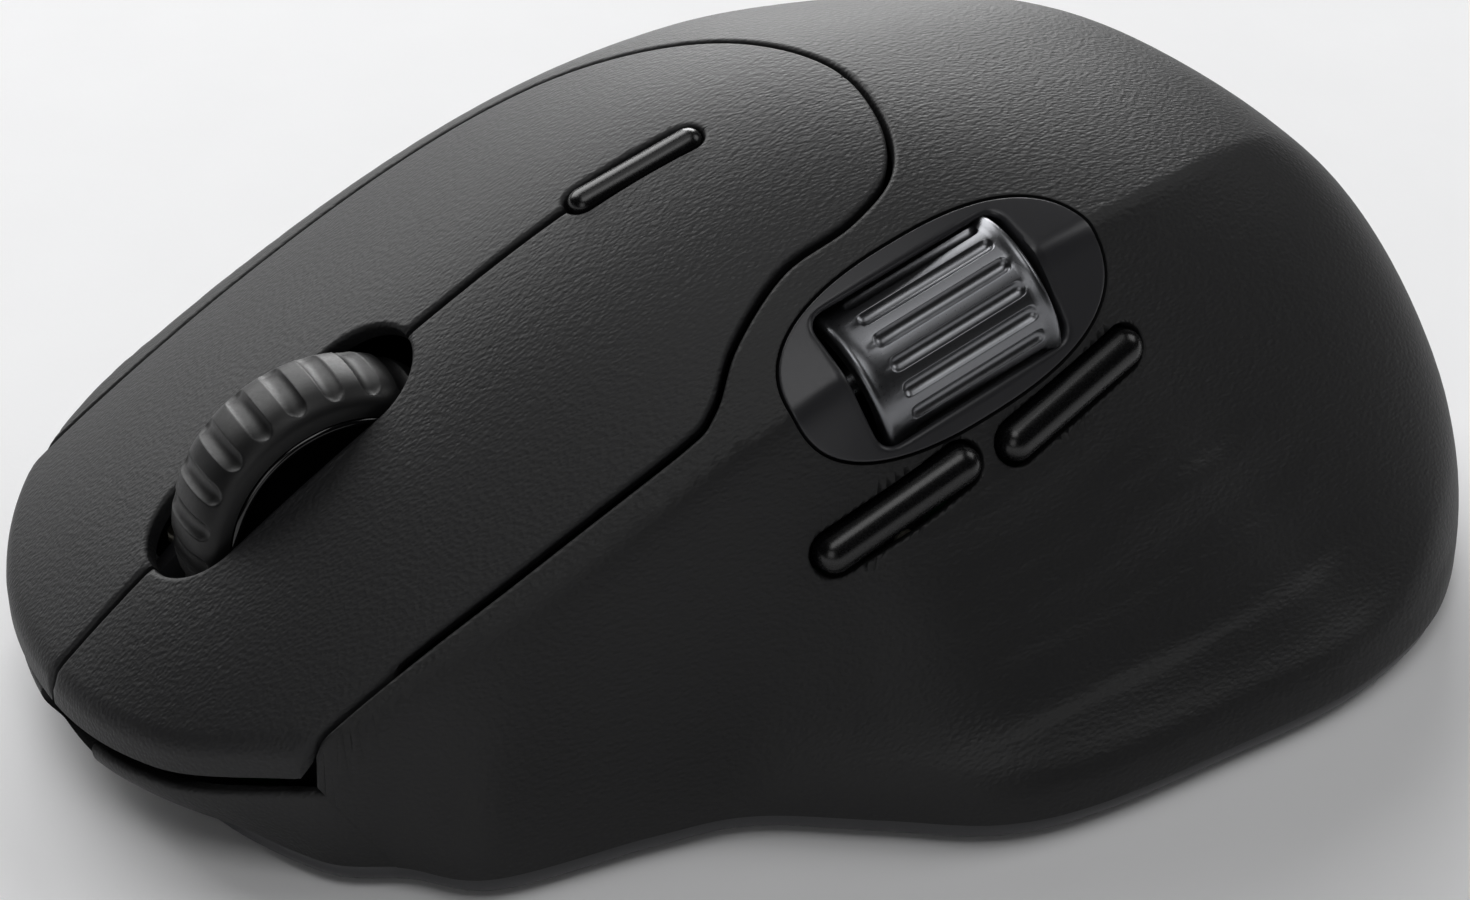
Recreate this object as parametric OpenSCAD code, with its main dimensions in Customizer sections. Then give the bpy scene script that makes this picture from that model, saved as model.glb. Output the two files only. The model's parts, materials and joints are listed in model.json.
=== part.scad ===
// Cordless computer mouse for the right hand, with a scroll wheel, a thumb wheel,
// two side buttons and a mode button.
// Millimetres. X runs across the mouse, with the thumb side at +X. The front is at -Y.
// Z is up, and the glide feet rest on Z = 0.

/* [Case] */
// Wall thickness of the upper shell
wall = 2; // [1.6:0.1:2.2]
// Height of the seam between the upper shell and the base
seam_z = 2.8; // [2.7:0.1:3]
// Gap round the keys and between them
key_gap = 0.5; // [0.4:0.1:0.6]
// Thickness of the key plate
key_t = 2.2; // [1.8:0.1:2.4]
// Depth of the turned-down front edge of the keys
lip_h = 3.2; // [2.8:0.1:3.4]
// Height of the glide feet under the base
foot_h = 0.6; // [0.5:0.1:0.8]

/* [Scroll wheel] */
// Outer radius of the tyre
wheel_r = 13.3; // [12.9:0.1:13.4]
// Width of the tyre
wheel_w = 8.4; // [8:0.1:8.6]
// Number of grooves across the tyre
wheel_grooves = 18; // [14:1:22]

/* [Thumb wheel] */
// Outer radius of the thumb wheel
thumb_r = 7; // [6.8:0.1:7.1]
// Length of the thumb wheel
thumb_len = 18; // [17:0.1:18.2]
// Number of grooves round the thumb wheel
thumb_grooves = 18; // [14:1:20]

/* [Buttons] */
// Length of a side button
side_len = 16; // [14:0.5:16.5]
// Width of a side button
side_w = 3.4; // [3:0.1:3.6]
// Length of the mode button
mode_len = 13; // [11:0.5:13.5]
// Width of the mode button
mode_w = 2.7; // [2.4:0.1:2.9]

/* [Electronics] */
// Thickness of the main board
board_t = 1.2; // [1:0.1:1.4]
// Length of the battery
battery_len = 22; // [18:0.5:22]

/* [Hidden] */
eps = 0.01;
// Y of the middle of the outline, which is moved to Y = 0
middle_y = 3.44;
// Radial clearance of a part that turns, and of one that is pressed or glued in place
run_gap = 0.05;
set_gap = 0.02;

// Plan outline at the seam, anticlockwise from the widest point of the thumb rest
outline = [[42, 12], [41.5, 26], [39.8, 42], [33.5, 55.5], [20.5, 65.5], [0, 67],
    [-19.5, 59.5], [-33, 45.5], [-40, 27], [-42, 8], [-41.5, -12], [-40, -32],
    [-34.5, -49.5], [-21, -58.5], [-4.5, -60.5], [8, -56.5], [16.8, -47.8],
    [20.8, -41.4], [25.8, -35.5], [27.5, -22], [29.3, -13.5], [35, -4.5], [40.2, 3.5]];
// Height of the top along its spine, by Y
top_profile = [[-66, 8], [-50, 21.1], [-30, 33.8], [-10, 43.8], [8, 48], [25, 47.2],
    [45, 43.4], [66, 33.5]];
// X of the spine, by Y
spine = [[-66, -6], [0, -8], [66, -9]];
// Sideways curvature of the top on the thumb side and on the far side, by Y
thumb_crown = [[-66, 0.015], [-40, 0.0145], [-5, 0.0115], [25, 0.0055], [45, 0.004],
    [66, 0.004]];
far_crown = [[-66, 0.0075], [-25, 0.0097], [0, 0.0105], [66, 0.01]];
// Plan width of the rounded shoulder, by angle round the outline
shoulder = [[-180, 17.5], [-150, 12], [-135, 6], [-122, 2], [-60, 2], [-40, 12], [0, 15],
    [40, 17.5], [60, 20.5], [90, 24], [135, 24], [160, 21], [180, 17.5]];
shoulder_power = 2.8;
// Crease between the top and the thumb side, in plan
crease = [[16.4, -46.6], [19.4, -36], [21.4, -24], [22, -12], [21.7, 0], [20.9, 12],
    [19.2, 24], [16.4, 35], [12.5, 45], [8, 54]];
// Hollowness of the thumb side, by angle, and the height of its rounded lower edge
hollow = [[-75, 1.15], [-60, 1.15], [-45, 1.35], [-20, 1.6], [0, 1.75], [25, 1.7],
    [45, 1.45], [60, 1.25], [80, 1.2]];
edge_h = 4;
edge_w = 2.2;
// Edge of the key plate in plan, from the far front corner round the back to the near one
key_edge = [[-32, -70], [-32, -42], [-30.7, -25], [-27, -7.5], [-22.8, 2], [-16, 10],
    [-7, 14.8], [1.5, 14.5], [8, 11.5], [11, 6], [12, -1], [15, -7.2], [18, -10.8],
    [18.8, -14.5], [18.3, -28], [17.3, -44], [16.8, -70]];
front_sector = [-124, -67];

function smooth_step(a, b, t) = let(s = max(0, min(1, (t - a) / (b - a)))) s * s * (3 - 2 * s);
function along_curve(a, b, c, d, t) = 0.5 * (2 * b + (c - a) * t
    + (2 * a - 5 * b + 4 * c - d) * t * t + (3 * b - a - 3 * c + d) * t * t * t);
function closed_curve(p, n) = let(m = len(p)) [for (i = [0:m - 1]) for (k = [0:n - 1])
    along_curve(p[(i + m - 1) % m], p[i], p[(i + 1) % m], p[(i + 2) % m], k / n)];
function open_curve(p, n) = let(m = len(p),
    q = concat([2 * p[0] - p[1]], p, [2 * p[m - 1] - p[m - 2]]))
    concat([for (i = [1:m - 1]) for (k = [0:n - 1])
        along_curve(q[i - 1], q[i], q[i + 1], q[i + 2], k / n)], [p[m - 1]]);
function polar(r, a) = [r * cos(a), r * sin(a)];
function angle_of(p) = atan2(p[1], p[0]);
function unit(v) = v / norm(v);
// Placing matrix with Y along one direction and Z close to another
function placed(c, along, out) = let(y = unit(along), z = unit(out - (out * y) * y),
    x = cross(y, z))
    [[x[0], y[0], z[0], c[0]], [x[1], y[1], z[1], c[1]], [x[2], y[2], z[2], c[2]], [0, 0, 0, 1]];

module in_frame() {
    translate([0, -middle_y, 0]) children();
}

outline_curve = closed_curve(outline, 8);
outline_start = angle_of(outline[0]);
outline_by_angle = concat([for (p = outline_curve) let(a = angle_of(p))
    [a < outline_start - eps ? a + 360 : a, norm(p)]], [[outline_start + 360, norm(outline[0])]]);
function rim_r(a) = lookup(a < outline_start ? a + 360 : a, outline_by_angle);
crease_by_angle = [for (p = open_curve(crease, 8)) [angle_of(p), norm(p)]];
profile_curve = open_curve(top_profile, 8);
spine_curve = open_curve(spine, 8);
thumb_crown_curve = open_curve(thumb_crown, 8);
far_crown_curve = open_curve(far_crown, 8);
shoulder_curve = open_curve(shoulder, 8);
hollow_curve = open_curve(hollow, 8);

// Crown of the top, before its edges are rounded over
function crown(x, y) = let(u = x - lookup(y, spine_curve),
    far = lookup(y, far_crown_curve),
    c = far + (lookup(y, thumb_crown_curve) - far) * smooth_step(-10, 10, u))
    lookup(y, profile_curve) - c * u * u;
function thumb_share(a) = smooth_step(-78, -62, a) * (1 - smooth_step(48, 84, a));
function round_over(s, n) = pow(1 - pow(1 - max(0, min(1, s)), n), 1 / n);
// Height of the outer surface over a point in plan
function top_z(x, y) = let(a = angle_of([x, y]), rho = norm([x, y]), rim = rim_r(a),
    d = max(rim - rho, 0),
    convex = (crown(x, y) - seam_z) * round_over(d / lookup(a, shoulder_curve), shoulder_power),
    ridge = lookup(a, crease_by_angle),
    q = max(0, min(1, (rho - ridge) / (rim - ridge))),
    k = rho > ridge ? ridge / rho : 1,
    fall = (crown(x * k, y * k) - seam_z - edge_h) * pow(1 - q, lookup(a, hollow_curve)) + edge_h,
    hollowed = rho <= ridge ? crown(x, y) - seam_z
        : min(fall, edge_h * round_over(d / edge_w, 2.2) + max(fall - edge_h, 0)),
    m = thumb_share(a))
    seam_z + convex * (1 - m) + hollowed * m;

// Grid over the plan: spokes by angle and rings that follow the crease on the thumb side
spokes = 80;
inner_rings = 5;
outer_rings = [0.15, 0.3, 0.45, 0.6, 0.74, 0.85, 0.93, 0.98, 1];
rings = inner_rings + len(outer_rings);
function spoke_a(i) = -180 + 360 * i / spokes;
function knee(a) = 0.7 + (min(0.97, lookup(a, crease_by_angle) / rim_r(a)) - 0.7) * thumb_share(a);
function ring_f(j, a) = j < inner_rings ? knee(a) * (j + 1) / inner_rings
    : knee(a) + (1 - knee(a)) * outer_rings[j - inner_rings];
function grid_xy(i, j) = let(a = spoke_a(i)) polar(rim_r(a) * ring_f(j, a), a);

// Closed solid between two surfaces that share the grid, each a pole and then its rings
module between(upper, lower) {
    n = 1 + rings * spokes;
    function at(i, j) = 1 + j * spokes + i % spokes;
    faces = concat(
        [for (i = [0:spokes - 1]) [0, at(i + 1, 0), at(i, 0)]],
        [for (i = [0:spokes - 1]) [n, n + at(i, 0), n + at(i + 1, 0)]],
        [for (j = [0:rings - 2]) for (i = [0:spokes - 1]) for (f = [
            [at(i, j), at(i + 1, j), at(i + 1, j + 1)],
            [at(i, j), at(i + 1, j + 1), at(i, j + 1)],
            [n + at(i, j), n + at(i + 1, j + 1), n + at(i + 1, j)],
            [n + at(i, j), n + at(i, j + 1), n + at(i + 1, j + 1)]]) f],
        [for (i = [0:spokes - 1]) for (f = [
            [at(i, rings - 1), at(i + 1, rings - 1), n + at(i + 1, rings - 1)],
            [at(i, rings - 1), n + at(i + 1, rings - 1), n + at(i, rings - 1)]]) f]);
    polyhedron(concat(upper, lower), faces);
}
function surface_points(f) = concat([f(0, 0, 0)],
    [for (j = [0:rings - 1]) for (i = [0:spokes - 1]) let(p = grid_xy(i, j)) f(p[0], p[1], j)]);

// Hollow dome of the whole top, down to the seam
module dome() {
    outer = function (x, y, j) [x, y, j == rings - 1 ? seam_z : top_z(x, y)];
    inner = function (x, y, j) let(a = angle_of([x, y]), k = 1 - wall / rim_r(a))
        [x * k, y * k, j == rings - 1 ? seam_z : max(seam_z, top_z(x, y) - wall)];
    between(surface_points(outer), surface_points(inner));
}

// Skin from which the key plate and the keys are cut, with its front edge turned down
module key_skin() {
    edge = function (x, y) crown(x, y) - lip_h;
    at_lip = function (x, y) let(a = angle_of([x, y]))
        (a > -130 && a < -62 ? 1 : 0) * (1 - smooth_step(3, 5, rim_r(a) - norm([x, y])));
    outer = function (x, y, j) [x, y, max(top_z(x, y), edge(x, y) + 0.3)];
    inner = function (x, y, j) let(t = at_lip(x, y))
        [x, y, (max(top_z(x, y), edge(x, y) + 0.3) - key_t) * (1 - t) + edge(x, y) * t];
    between(surface_points(outer), surface_points(inner));
}

module key_area(grow) {
    linear_extrude(70) offset(delta = grow) polygon(open_curve(key_edge, 6));
}

// Pill shape, long along Y
module pill(length, width) {
    square([width, length - width], center = true);
    for (s = [-1, 1]) translate([0, s * (length - width) / 2]) circle(d = width, $fn = 32);
}

// Outline drawn in from the rim, and tucked further in under the front edge
function tuck(a) = smooth_step(-66, -86, a) * smooth_step(-140, -112, a) * 5.6;
function base_outline(inset) = [for (i = [0:119]) let(a = -180 + 3 * i)
    polar(rim_r(a) - inset - tuck(a), a)];

// ---- base ----
floor_z = foot_h;
// Set-back of the base from the rim of the top, and height of its lower step
rim_inset = 0.5;
chamfer_h = 0.7;
floor_top = foot_h + 1.6;
rim_top = seam_z - 0.3;
board_z = 4.4;
board_top = board_z + board_t;
screw_posts = [[-25, -8], [18, -6], [-27, 32], [24, 36]];
board_posts = [[-25, -30], [13, -26], [-15, 26], [6, 26]];
post_r = 3;
screw_r = 1.1;
board_bore_r = 0.9;
// Depth of the pockets for the heads of the case screws
head_deep = 0.9;
sensor_xy = [-4.5, -4];
power_xy = [8, 12];
pair_xy = [-12, 14];
power_travel = 3;
// Height of the underside of the power knob and the pairing button
knob_low = 0.35;
// X of the slit between the keys, the wheel and the port
split_x = -4.5;
port_w = 9;
port_h = 3.2;
port_z = board_top + port_h / 2;

module at_xy(points) {
    for (p = points) translate([p[0], p[1], 0]) children();
}

module base_shell() {
    in_frame() color("#2b2b2d") difference() {
        union() {
            translate([0, 0, floor_z]) linear_extrude(chamfer_h) polygon(base_outline(2.2));
            translate([0, 0, floor_z + chamfer_h]) linear_extrude(floor_top - floor_z - chamfer_h)
                polygon(base_outline(rim_inset));
            translate([0, 0, floor_top]) linear_extrude(rim_top - floor_top) difference() {
                polygon(base_outline(rim_inset));
                polygon(base_outline(rim_inset + 2));
            }
            at_xy(board_posts) translate([0, 0, floor_top])
                cylinder(r = 2.4, h = board_z - floor_top, $fn = 40);
            // Ribs that hold the battery
            for (x = [-18.4, 15.2]) translate([x, 38, floor_top]) cube([1.2, 14, 4]);
        }
        at_xy(board_posts) translate([0, 0, floor_z + head_deep])
            cylinder(r = board_bore_r, h = 9, $fn = 32);
        at_xy(screw_posts) {
            translate([0, 0, -1]) cylinder(r = screw_r + 0.3, h = 6, $fn = 32);
            translate([0, 0, -1]) cylinder(r = 2.7, h = 1 + floor_z + head_deep, $fn = 40);
        }
        translate([sensor_xy[0] - 6.2, sensor_xy[1] - 5.2, -1]) cube([12.4, 10.4, 6]);
        translate([power_xy[0] - 3.6, power_xy[1] - 1.6, -1]) cube([7.2, 3.2, 6]);
        translate([pair_xy[0], pair_xy[1], -1]) cylinder(r = 2.2, h = 6, $fn = 40);
    }
}

// Curved front cover under the key edges, from the rim of the base up to the gap
module front_bumper() {
    wall_t = 1.2;
    gap_under_lip = 1.4;
    spans = 24;
    function section(a) = let(r0 = rim_r(a) - rim_inset - tuck(a), r1 = rim_r(a) - 0.7,
        p = polar(rim_r(a), a), z1 = crown(p[0], p[1]) - lip_h - gap_under_lip,
        r = function (t) r0 + (r1 - r0) * sin(90 * t), z = function (t) rim_top + (z1 - rim_top) * t)
        concat([for (t = [0:0.25:1]) concat(polar(r(t), a), z(t))],
            [for (t = [1:-0.25:0]) concat(polar(r(t) - wall_t, a), z(t))]);
    n = 10;
    points = [for (i = [0:spans]) for (p = section(front_sector[0] + 0.4
        + (front_sector[1] - front_sector[0] - 0.8) * i / spans)) p];
    sides = [for (i = [0:spans - 1]) for (k = [0:n - 1]) let(a = i * n + k, b = i * n + (k + 1) % n)
        for (f = [[a, b, b + n], [a, b + n, a + n]]) f];
    in_frame() color("#242426") resize([0, 0, 0]) difference() {
        polyhedron(points, concat(sides, [[for (k = [n - 1:-1:0]) k]],
            [[for (k = [0:n - 1]) spans * n + k]]));
        translate([split_x, -62, port_z]) rotate([-90, 0, 0]) linear_extrude(14) rotate(90)
            pill(port_w + 0.8, port_h + 0.8);
    }
}

module upper_shell() {
    in_frame() color("#252527") resize([0, 0, 0]) difference() {
        dome();
        key_area(key_gap / 2);
        linear_extrude(70) polygon([polar(30, front_sector[0]), polar(90, front_sector[0]),
            polar(90, -95), polar(90, front_sector[1]), polar(40, front_sector[1])]);
        at_thumb() linear_extrude(40, center = true) oval(0.15);
        at_side(front_side) linear_extrude(20, center = true) pill(side_len + 0.8, side_w + 0.8);
        at_side(rear_side) linear_extrude(20, center = true) pill(side_len + 0.8, side_w + 0.8);
    }
}

// ---- keys ----
flex_y = 2;
flex_gap = 0.12;
slot_y = [-51, -27.2];
slot_w = wheel_w + 1.8;

module wheel_slot() {
    translate([split_x, (slot_y[0] + slot_y[1]) / 2, 0]) linear_extrude(70)
        pill(slot_y[1] - slot_y[0], slot_w);
}

module mode_slot() {
    at_mode() linear_extrude(20, center = true) pill(mode_len + 0.5, mode_w + 0.5);
}

module key_plate() {
    in_frame() color("#272729") resize([0, 0, 0]) difference() {
        intersection() {
            key_skin();
            key_area(-key_gap / 2);
            translate([-60, flex_y + flex_gap / 2, 0]) cube([120, 60, 60]);
        }
        mode_slot();
    }
}

// One key: half of the skin in front of the flex line, with a post over its switch
module key(side) {
    edge_x = split_x + side * key_gap / 2;
    in_frame() color("#272729") resize([0, 0, 0]) difference() {
        union() {
            intersection() {
                key_skin();
                key_area(-key_gap / 2);
                translate([side > 0 ? edge_x : edge_x - 60, -70, 0])
                    cube([60, 70 + flex_y - flex_gap / 2, 60]);
            }
            translate([switch_x(side) - 1.5, plunger_y - 1.5, press_z + 0.15])
                cube([3, 3, crown(switch_x(side), plunger_y) - key_t - press_z + 0.4]);
        }
        wheel_slot();
        mode_slot();
    }
}

module left_key() {
    key(1);
}

module right_key() {
    key(-1);
}

// ---- inner frame and boards ----
module at_mode() {
    translate([split_x, -5.7, 45]) rotate([16.5, 0, 0]) children();
}

frame_z = -14;
beam_z = 13;
post_top = beam_z + 3;
module inner_frame() {
    in_frame() color("#3a3a3c") difference() {
        union() {
            at_mode() translate([-10, -9, frame_z]) cube([20, 19, 1.8]);
            // Beams from the plate out to the four posts, each with its foot on the base
            for (p = screw_posts) translate([p[0], p[1], floor_top])
                cylinder(r = post_r, h = post_top - floor_top, $fn = 40);
            for (x = [-13.5, 3.5]) translate([x, -13, beam_z]) cube([1.6, 50, 3]);
            for (x = [-13.5, 3.5]) translate([x, 0, beam_z]) cube([1.6, 3, 33.2 - beam_z]);
            translate([-27, -9.6, beam_z]) cube([47, 2.4, 3]);
            translate([-29, 33, beam_z]) cube([55, 2.4, 3]);
        }
        at_xy(screw_posts) cylinder(r = screw_r, h = 16, $fn = 32);
    }
}
module main_board() {
    in_frame() color("#1f5a35") difference() {
        translate([0, 0, board_z]) linear_extrude(board_t)
            polygon([[-20, -49.5], [5, -49.8], [7, -48.6], [12.2, -46.6], [17, -34], [18, -22],
                [10, -14], [10, 30], [-19, 30], [-19, -14], [-29, -22], [-29, -42]]);
        translate([sensor_xy[0] - 3, sensor_xy[1] - 3, 0]) cube([6, 6, 10]);
        at_xy(board_posts) cylinder(r = screw_r + 0.1, h = 10, $fn = 32);
    }
}

// ---- scroll wheel ----
wheel_c = [split_x, -35, 20.9];
tyre_in = 10.6;
axle_r = 1.2;
pin_r = 1;
pin_yz = [-17, 11.5];
plate_in = wheel_w / 2 + 0.6;
plate_t = 1.5;

module at_wheel() {
    translate(wheel_c) rotate([0, 90, 0]) children();
}

module scroll_tyre() {
    h = wheel_w / 2;
    in_frame() color("#1c1c1e") at_wheel() difference() {
        rotate_extrude($fn = 96) polygon([[tyre_in + set_gap, -h], [wheel_r - 2.1, -h],
            [wheel_r - 1.2, -h + 0.3], [wheel_r - 0.5, -h * 0.66], [wheel_r - 0.1, -h * 0.3],
            [wheel_r, 0], [wheel_r - 0.1, h * 0.3], [wheel_r - 0.5, h * 0.66],
            [wheel_r - 1.2, h - 0.3], [wheel_r - 2.1, h], [tyre_in + set_gap, h]]);
        for (i = [0:wheel_grooves - 1]) rotate(i * 360 / wheel_grooves)
            translate([wheel_r + 0.5, 0, 0]) cylinder(r = 1.1, h = wheel_w * 0.6, center = true, $fn = 24);
    }
}

module scroll_hub() {
    in_frame() color("#0d0d0f") at_wheel() difference() {
        cylinder(r = tyre_in, h = wheel_w - 0.6, center = true, $fn = 96);
        for (s = [-1, 1]) translate([0, 0, s * wheel_w / 2]) difference() {
            cylinder(r = tyre_in - 1.2, h = 2.4, center = true, $fn = 96);
            cylinder(r = 3, h = 3, center = true, $fn = 48);
        }
        cylinder(r = axle_r + set_gap, h = wheel_w + 2, center = true, $fn = 32);
    }
}

module scroll_axle() {
    in_frame() color("#b9bcc0") at_wheel()
        cylinder(r = axle_r, h = 2 * (plate_in + plate_t) + 3, center = true, $fn = 32);
}

module carrier_side(x) {
    translate([x, 0, 0]) rotate([90, 0, 90]) linear_extrude(plate_t)
        polygon([[-51.5, 10], [-46, 8.9], [-15.5, 9.5], [-15.5, 13.5],
            [-29, 23.5], [-40, 23.5], [-51.5, 13]]);
}

module wheel_carrier() {
    left = split_x + plate_in;
    right = split_x - plate_in - plate_t;
    in_frame() color("#39393b") difference() {
        union() {
            carrier_side(left);
            carrier_side(right);
            translate([right, -51.5, 10]) cube([left - right + plate_t, 2.2, 3]);
            // Ear over the middle switch
            translate([left + plate_t - eps, -49.6, 8.9]) cube([3.9, 3.9, 2]);
        }
        translate(wheel_c) rotate([0, 90, 0]) cylinder(r = axle_r + run_gap, h = 30, center = true, $fn = 32);
        translate([split_x, pin_yz[0], pin_yz[1]]) rotate([0, 90, 0])
            cylinder(r = pin_r + run_gap, h = 30, center = true, $fn = 32);
    }
}

module carrier_pin() {
    in_frame() color("#b9bcc0") translate([split_x, pin_yz[0], pin_yz[1]]) rotate([0, 90, 0])
        cylinder(r = pin_r, h = 2 * (plate_in + plate_t + 0.3 + 2), center = true, $fn = 32);
}

module wheel_bracket() {
    ear_in = plate_in + plate_t + 0.3;
    in_frame() color("#39393b") difference() {
        union() {
            for (x = [split_x + ear_in, split_x - ear_in - 2]) translate([x, -19.5, board_top])
                cube([2, 5, 8.2]);
            translate([split_x - ear_in - 2, -14.5 - eps, board_top]) cube([2 * ear_in + 4, 2, 3]);
        }
        translate([split_x, pin_yz[0], pin_yz[1]]) rotate([0, 90, 0])
            cylinder(r = pin_r + set_gap, h = 30, center = true, $fn = 32);
    }
}

module scroll_encoder() {
    right = split_x - plate_in - plate_t;
    in_frame() color("#26486b") difference() {
        translate([right - 4.2, wheel_c[1] - 4, wheel_c[2] - 5]) cube([4.2, 8, 9]);
        translate(wheel_c) rotate([0, 90, 0]) cylinder(r = axle_r + run_gap, h = 40, center = true, $fn = 32);
    }
}

// ---- switches under the keys and the wheel ----
switch_h = 6.5;
plunger_h = 0.8;
plunger_y = -43.5;
press_z = board_top + switch_h + plunger_h;
function switch_x(side) = split_x + side * 13.5;

module key_switch(side) {
    in_frame() color("#2a2a2c") difference() {
        translate([switch_x(side) - 2.9, -46.4, board_top]) cube([5.8, 12.8, switch_h]);
        translate([switch_x(side), plunger_y, press_z - plunger_h - 1.6])
            cylinder(r = 1.2 + run_gap, h = 3, $fn = 32);
    }
}

module key_switch_plunger(side) {
    in_frame() color("#d9d6cc") translate([switch_x(side), plunger_y, press_z - plunger_h - 0.9])
        cylinder(r = 1.2, h = plunger_h + 0.9, $fn = 32);
}

module left_switch() {
    key_switch(1);
}

module right_switch() {
    key_switch(-1);
}

module left_switch_plunger() {
    key_switch_plunger(1);
}

module right_switch_plunger() {
    key_switch_plunger(-1);
}

middle_xy = [3.7, -47.5];
middle_h = 2.6;
module middle_switch() {
    in_frame() color("#2a2a2c") difference() {
        translate([middle_xy[0] - 2, middle_xy[1] - 2, board_top]) cube([4, 4, middle_h]);
        translate([middle_xy[0], middle_xy[1], board_top + middle_h - 1.4])
            cylinder(r = 1.1 + run_gap, h = 3, $fn = 32);
    }
}

module middle_switch_plunger() {
    in_frame() color("#d9d6cc") translate([middle_xy[0], middle_xy[1], board_top + middle_h - 0.8])
        cylinder(r = 1.1, h = 8.8 - (board_top + middle_h - 0.8), $fn = 32);
}

// ---- thumb wheel, in its own frame: Y along the crease, Z outwards ----
module at_thumb() {
    translate([20.5, 9.5, 38.5]) rotate([17.2, 0, 0]) rotate([0, 47, 0]) children();
}

oval_size = [8.2, 15.4];
window_size = [12.7, 19.2];
window_corner = 1.5;
thumb_z = 1.6 - thumb_r;
thumb_axle_r = 1.5;
bracket_in = thumb_len / 2 + 0.7;
bezel_inside = -3.4;

module oval(grow) {
    polygon([for (i = [0:47]) let(a = i * 7.5, c = cos(a), s = sin(a))
        [(oval_size[0] + grow) * sign(c) * pow(abs(c), 0.75),
         (oval_size[1] + grow) * sign(s) * pow(abs(s), 0.75)]]);
}

module thumb_bezel() {
    in_frame() color("#4a4b4e") resize([0, 0, 0]) difference() {
        intersection() {
            dome();
            at_thumb() linear_extrude(16, center = true) oval(-0.15);
        }
        at_thumb() linear_extrude(40, center = true) offset(r = window_corner)
            square([window_size[0] - 2 * window_corner, window_size[1] - 2 * window_corner], center = true);
        at_thumb() translate([0, 0, thumb_z]) rotate([90, 0, 0])
            cylinder(r = thumb_r + 0.45, h = thumb_len + 1, center = true, $fn = 44);
        // Relief over the bearings of the wheel
        at_thumb() translate([-4.6, -14, bezel_inside - 10]) cube([9.2, 28, 10]);
    }
}

module along_thumb_axis() {
    at_thumb() translate([0, 0, thumb_z]) rotate([90, 0, 0]) children();
}

module thumb_wheel_sleeve() {
    in_frame() color("#7d7f83") along_thumb_axis() linear_extrude(thumb_len, center = true) difference() {
        circle(r = thumb_r, $fn = 96);
        circle(r = thumb_r - 1.6 + set_gap, $fn = 64);
        for (i = [0:thumb_grooves - 1]) rotate(i * 360 / thumb_grooves)
            translate([thumb_r + 0.45, 0]) circle(r = 0.9, $fn = 24);
    }
}

module thumb_wheel_core() {
    in_frame() color("#1b1b1d") along_thumb_axis() difference() {
        cylinder(r = thumb_r - 1.6, h = thumb_len - 0.6, center = true, $fn = 64);
        cylinder(r = thumb_axle_r + set_gap, h = thumb_len + 2, center = true, $fn = 32);
    }
}

module thumb_wheel_axle() {
    in_frame() color("#b9bcc0") along_thumb_axis()
        cylinder(r = thumb_axle_r, h = 2 * bracket_in + 5, center = true, $fn = 32);
}

module thumb_wheel_bracket() {
    low = thumb_z - thumb_r - 1.2;
    in_frame() color("#39393b") at_thumb() difference() {
        union() {
            for (y = [bracket_in, -bracket_in - 1.5]) translate([-4, y, low])
                cube([8, 1.5, bezel_inside - 0.1 - low]);
            translate([-4, -bracket_in - 1.5, low - 1.8 + eps]) cube([8, 2 * bracket_in + 3, 1.8]);
        }
        translate([0, 0, thumb_z]) rotate([90, 0, 0])
            cylinder(r = thumb_axle_r + run_gap, h = 60, center = true, $fn = 32);
    }
}

module thumb_encoder() {
    in_frame() color("#26486b") at_thumb() difference() {
        translate([-3.6, bracket_in + 1.5, thumb_z - 5]) cube([7.2, 2.2, bezel_inside - 0.1 - thumb_z + 5]);
        translate([0, 0, thumb_z]) rotate([90, 0, 0])
            cylinder(r = thumb_axle_r + run_gap, h = 60, center = true, $fn = 32);
    }
}

// ---- side buttons, each in its own frame: Y along the button, Z out of the wall ----
front_side = placed([25.9, 2, 26.1], [0.03, 0.92, 0.39], [0.91, -0.2, 0.37]);
rear_side = placed([24.9, 19.2, 31.1], [-0.168, 0.926, 0.329], [0.92, 0.01, 0.4]);
button_out = 1;
flange_z = -3.7;
stem_z = -4.4;
stem_x = 4.5;
side_switch_z = -6.8;
side_switch_h = 1.8;
side_board_t = 1;

module at_side(m) {
    multmatrix(m) children();
}

module side_button(m) {
    in_frame() color("#161618") at_side(m) {
        translate([0, 0, flange_z + 0.7]) linear_extrude(button_out - flange_z - 0.7) pill(side_len, side_w);
        // Arm behind the wall that reaches down to the switch
        translate([-side_w / 2, -4, flange_z]) cube([stem_x + 1.4 + side_w / 2, 8, 0.8]);
        translate([stem_x - 1, -1.5, stem_z]) cube([2, 3, 1]);
    }
}

module front_side_button() {
    side_button(front_side);
}

module rear_side_button() {
    side_button(rear_side);
}

module side_switch(m) {
    in_frame() color("#2a2a2c") at_side(m) difference() {
        translate([stem_x - 2.2, -2.2, side_switch_z]) cube([4.4, 4.4, side_switch_h]);
        translate([stem_x, 0, side_switch_z + side_switch_h - 1.4])
            cylinder(r = 1 + run_gap, h = 3, $fn = 32);
    }
}

module side_plunger(m) {
    top = side_switch_z + side_switch_h;
    in_frame() color("#d9d6cc") at_side(m) translate([stem_x, 0, top - 0.8])
        cylinder(r = 1, h = stem_z - 0.1 - top + 0.8, $fn = 32);
}

module front_side_switch() {
    side_switch(front_side);
}

module rear_side_switch() {
    side_switch(rear_side);
}

module front_side_plunger() {
    side_plunger(front_side);
}

module rear_side_plunger() {
    side_plunger(rear_side);
}

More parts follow.
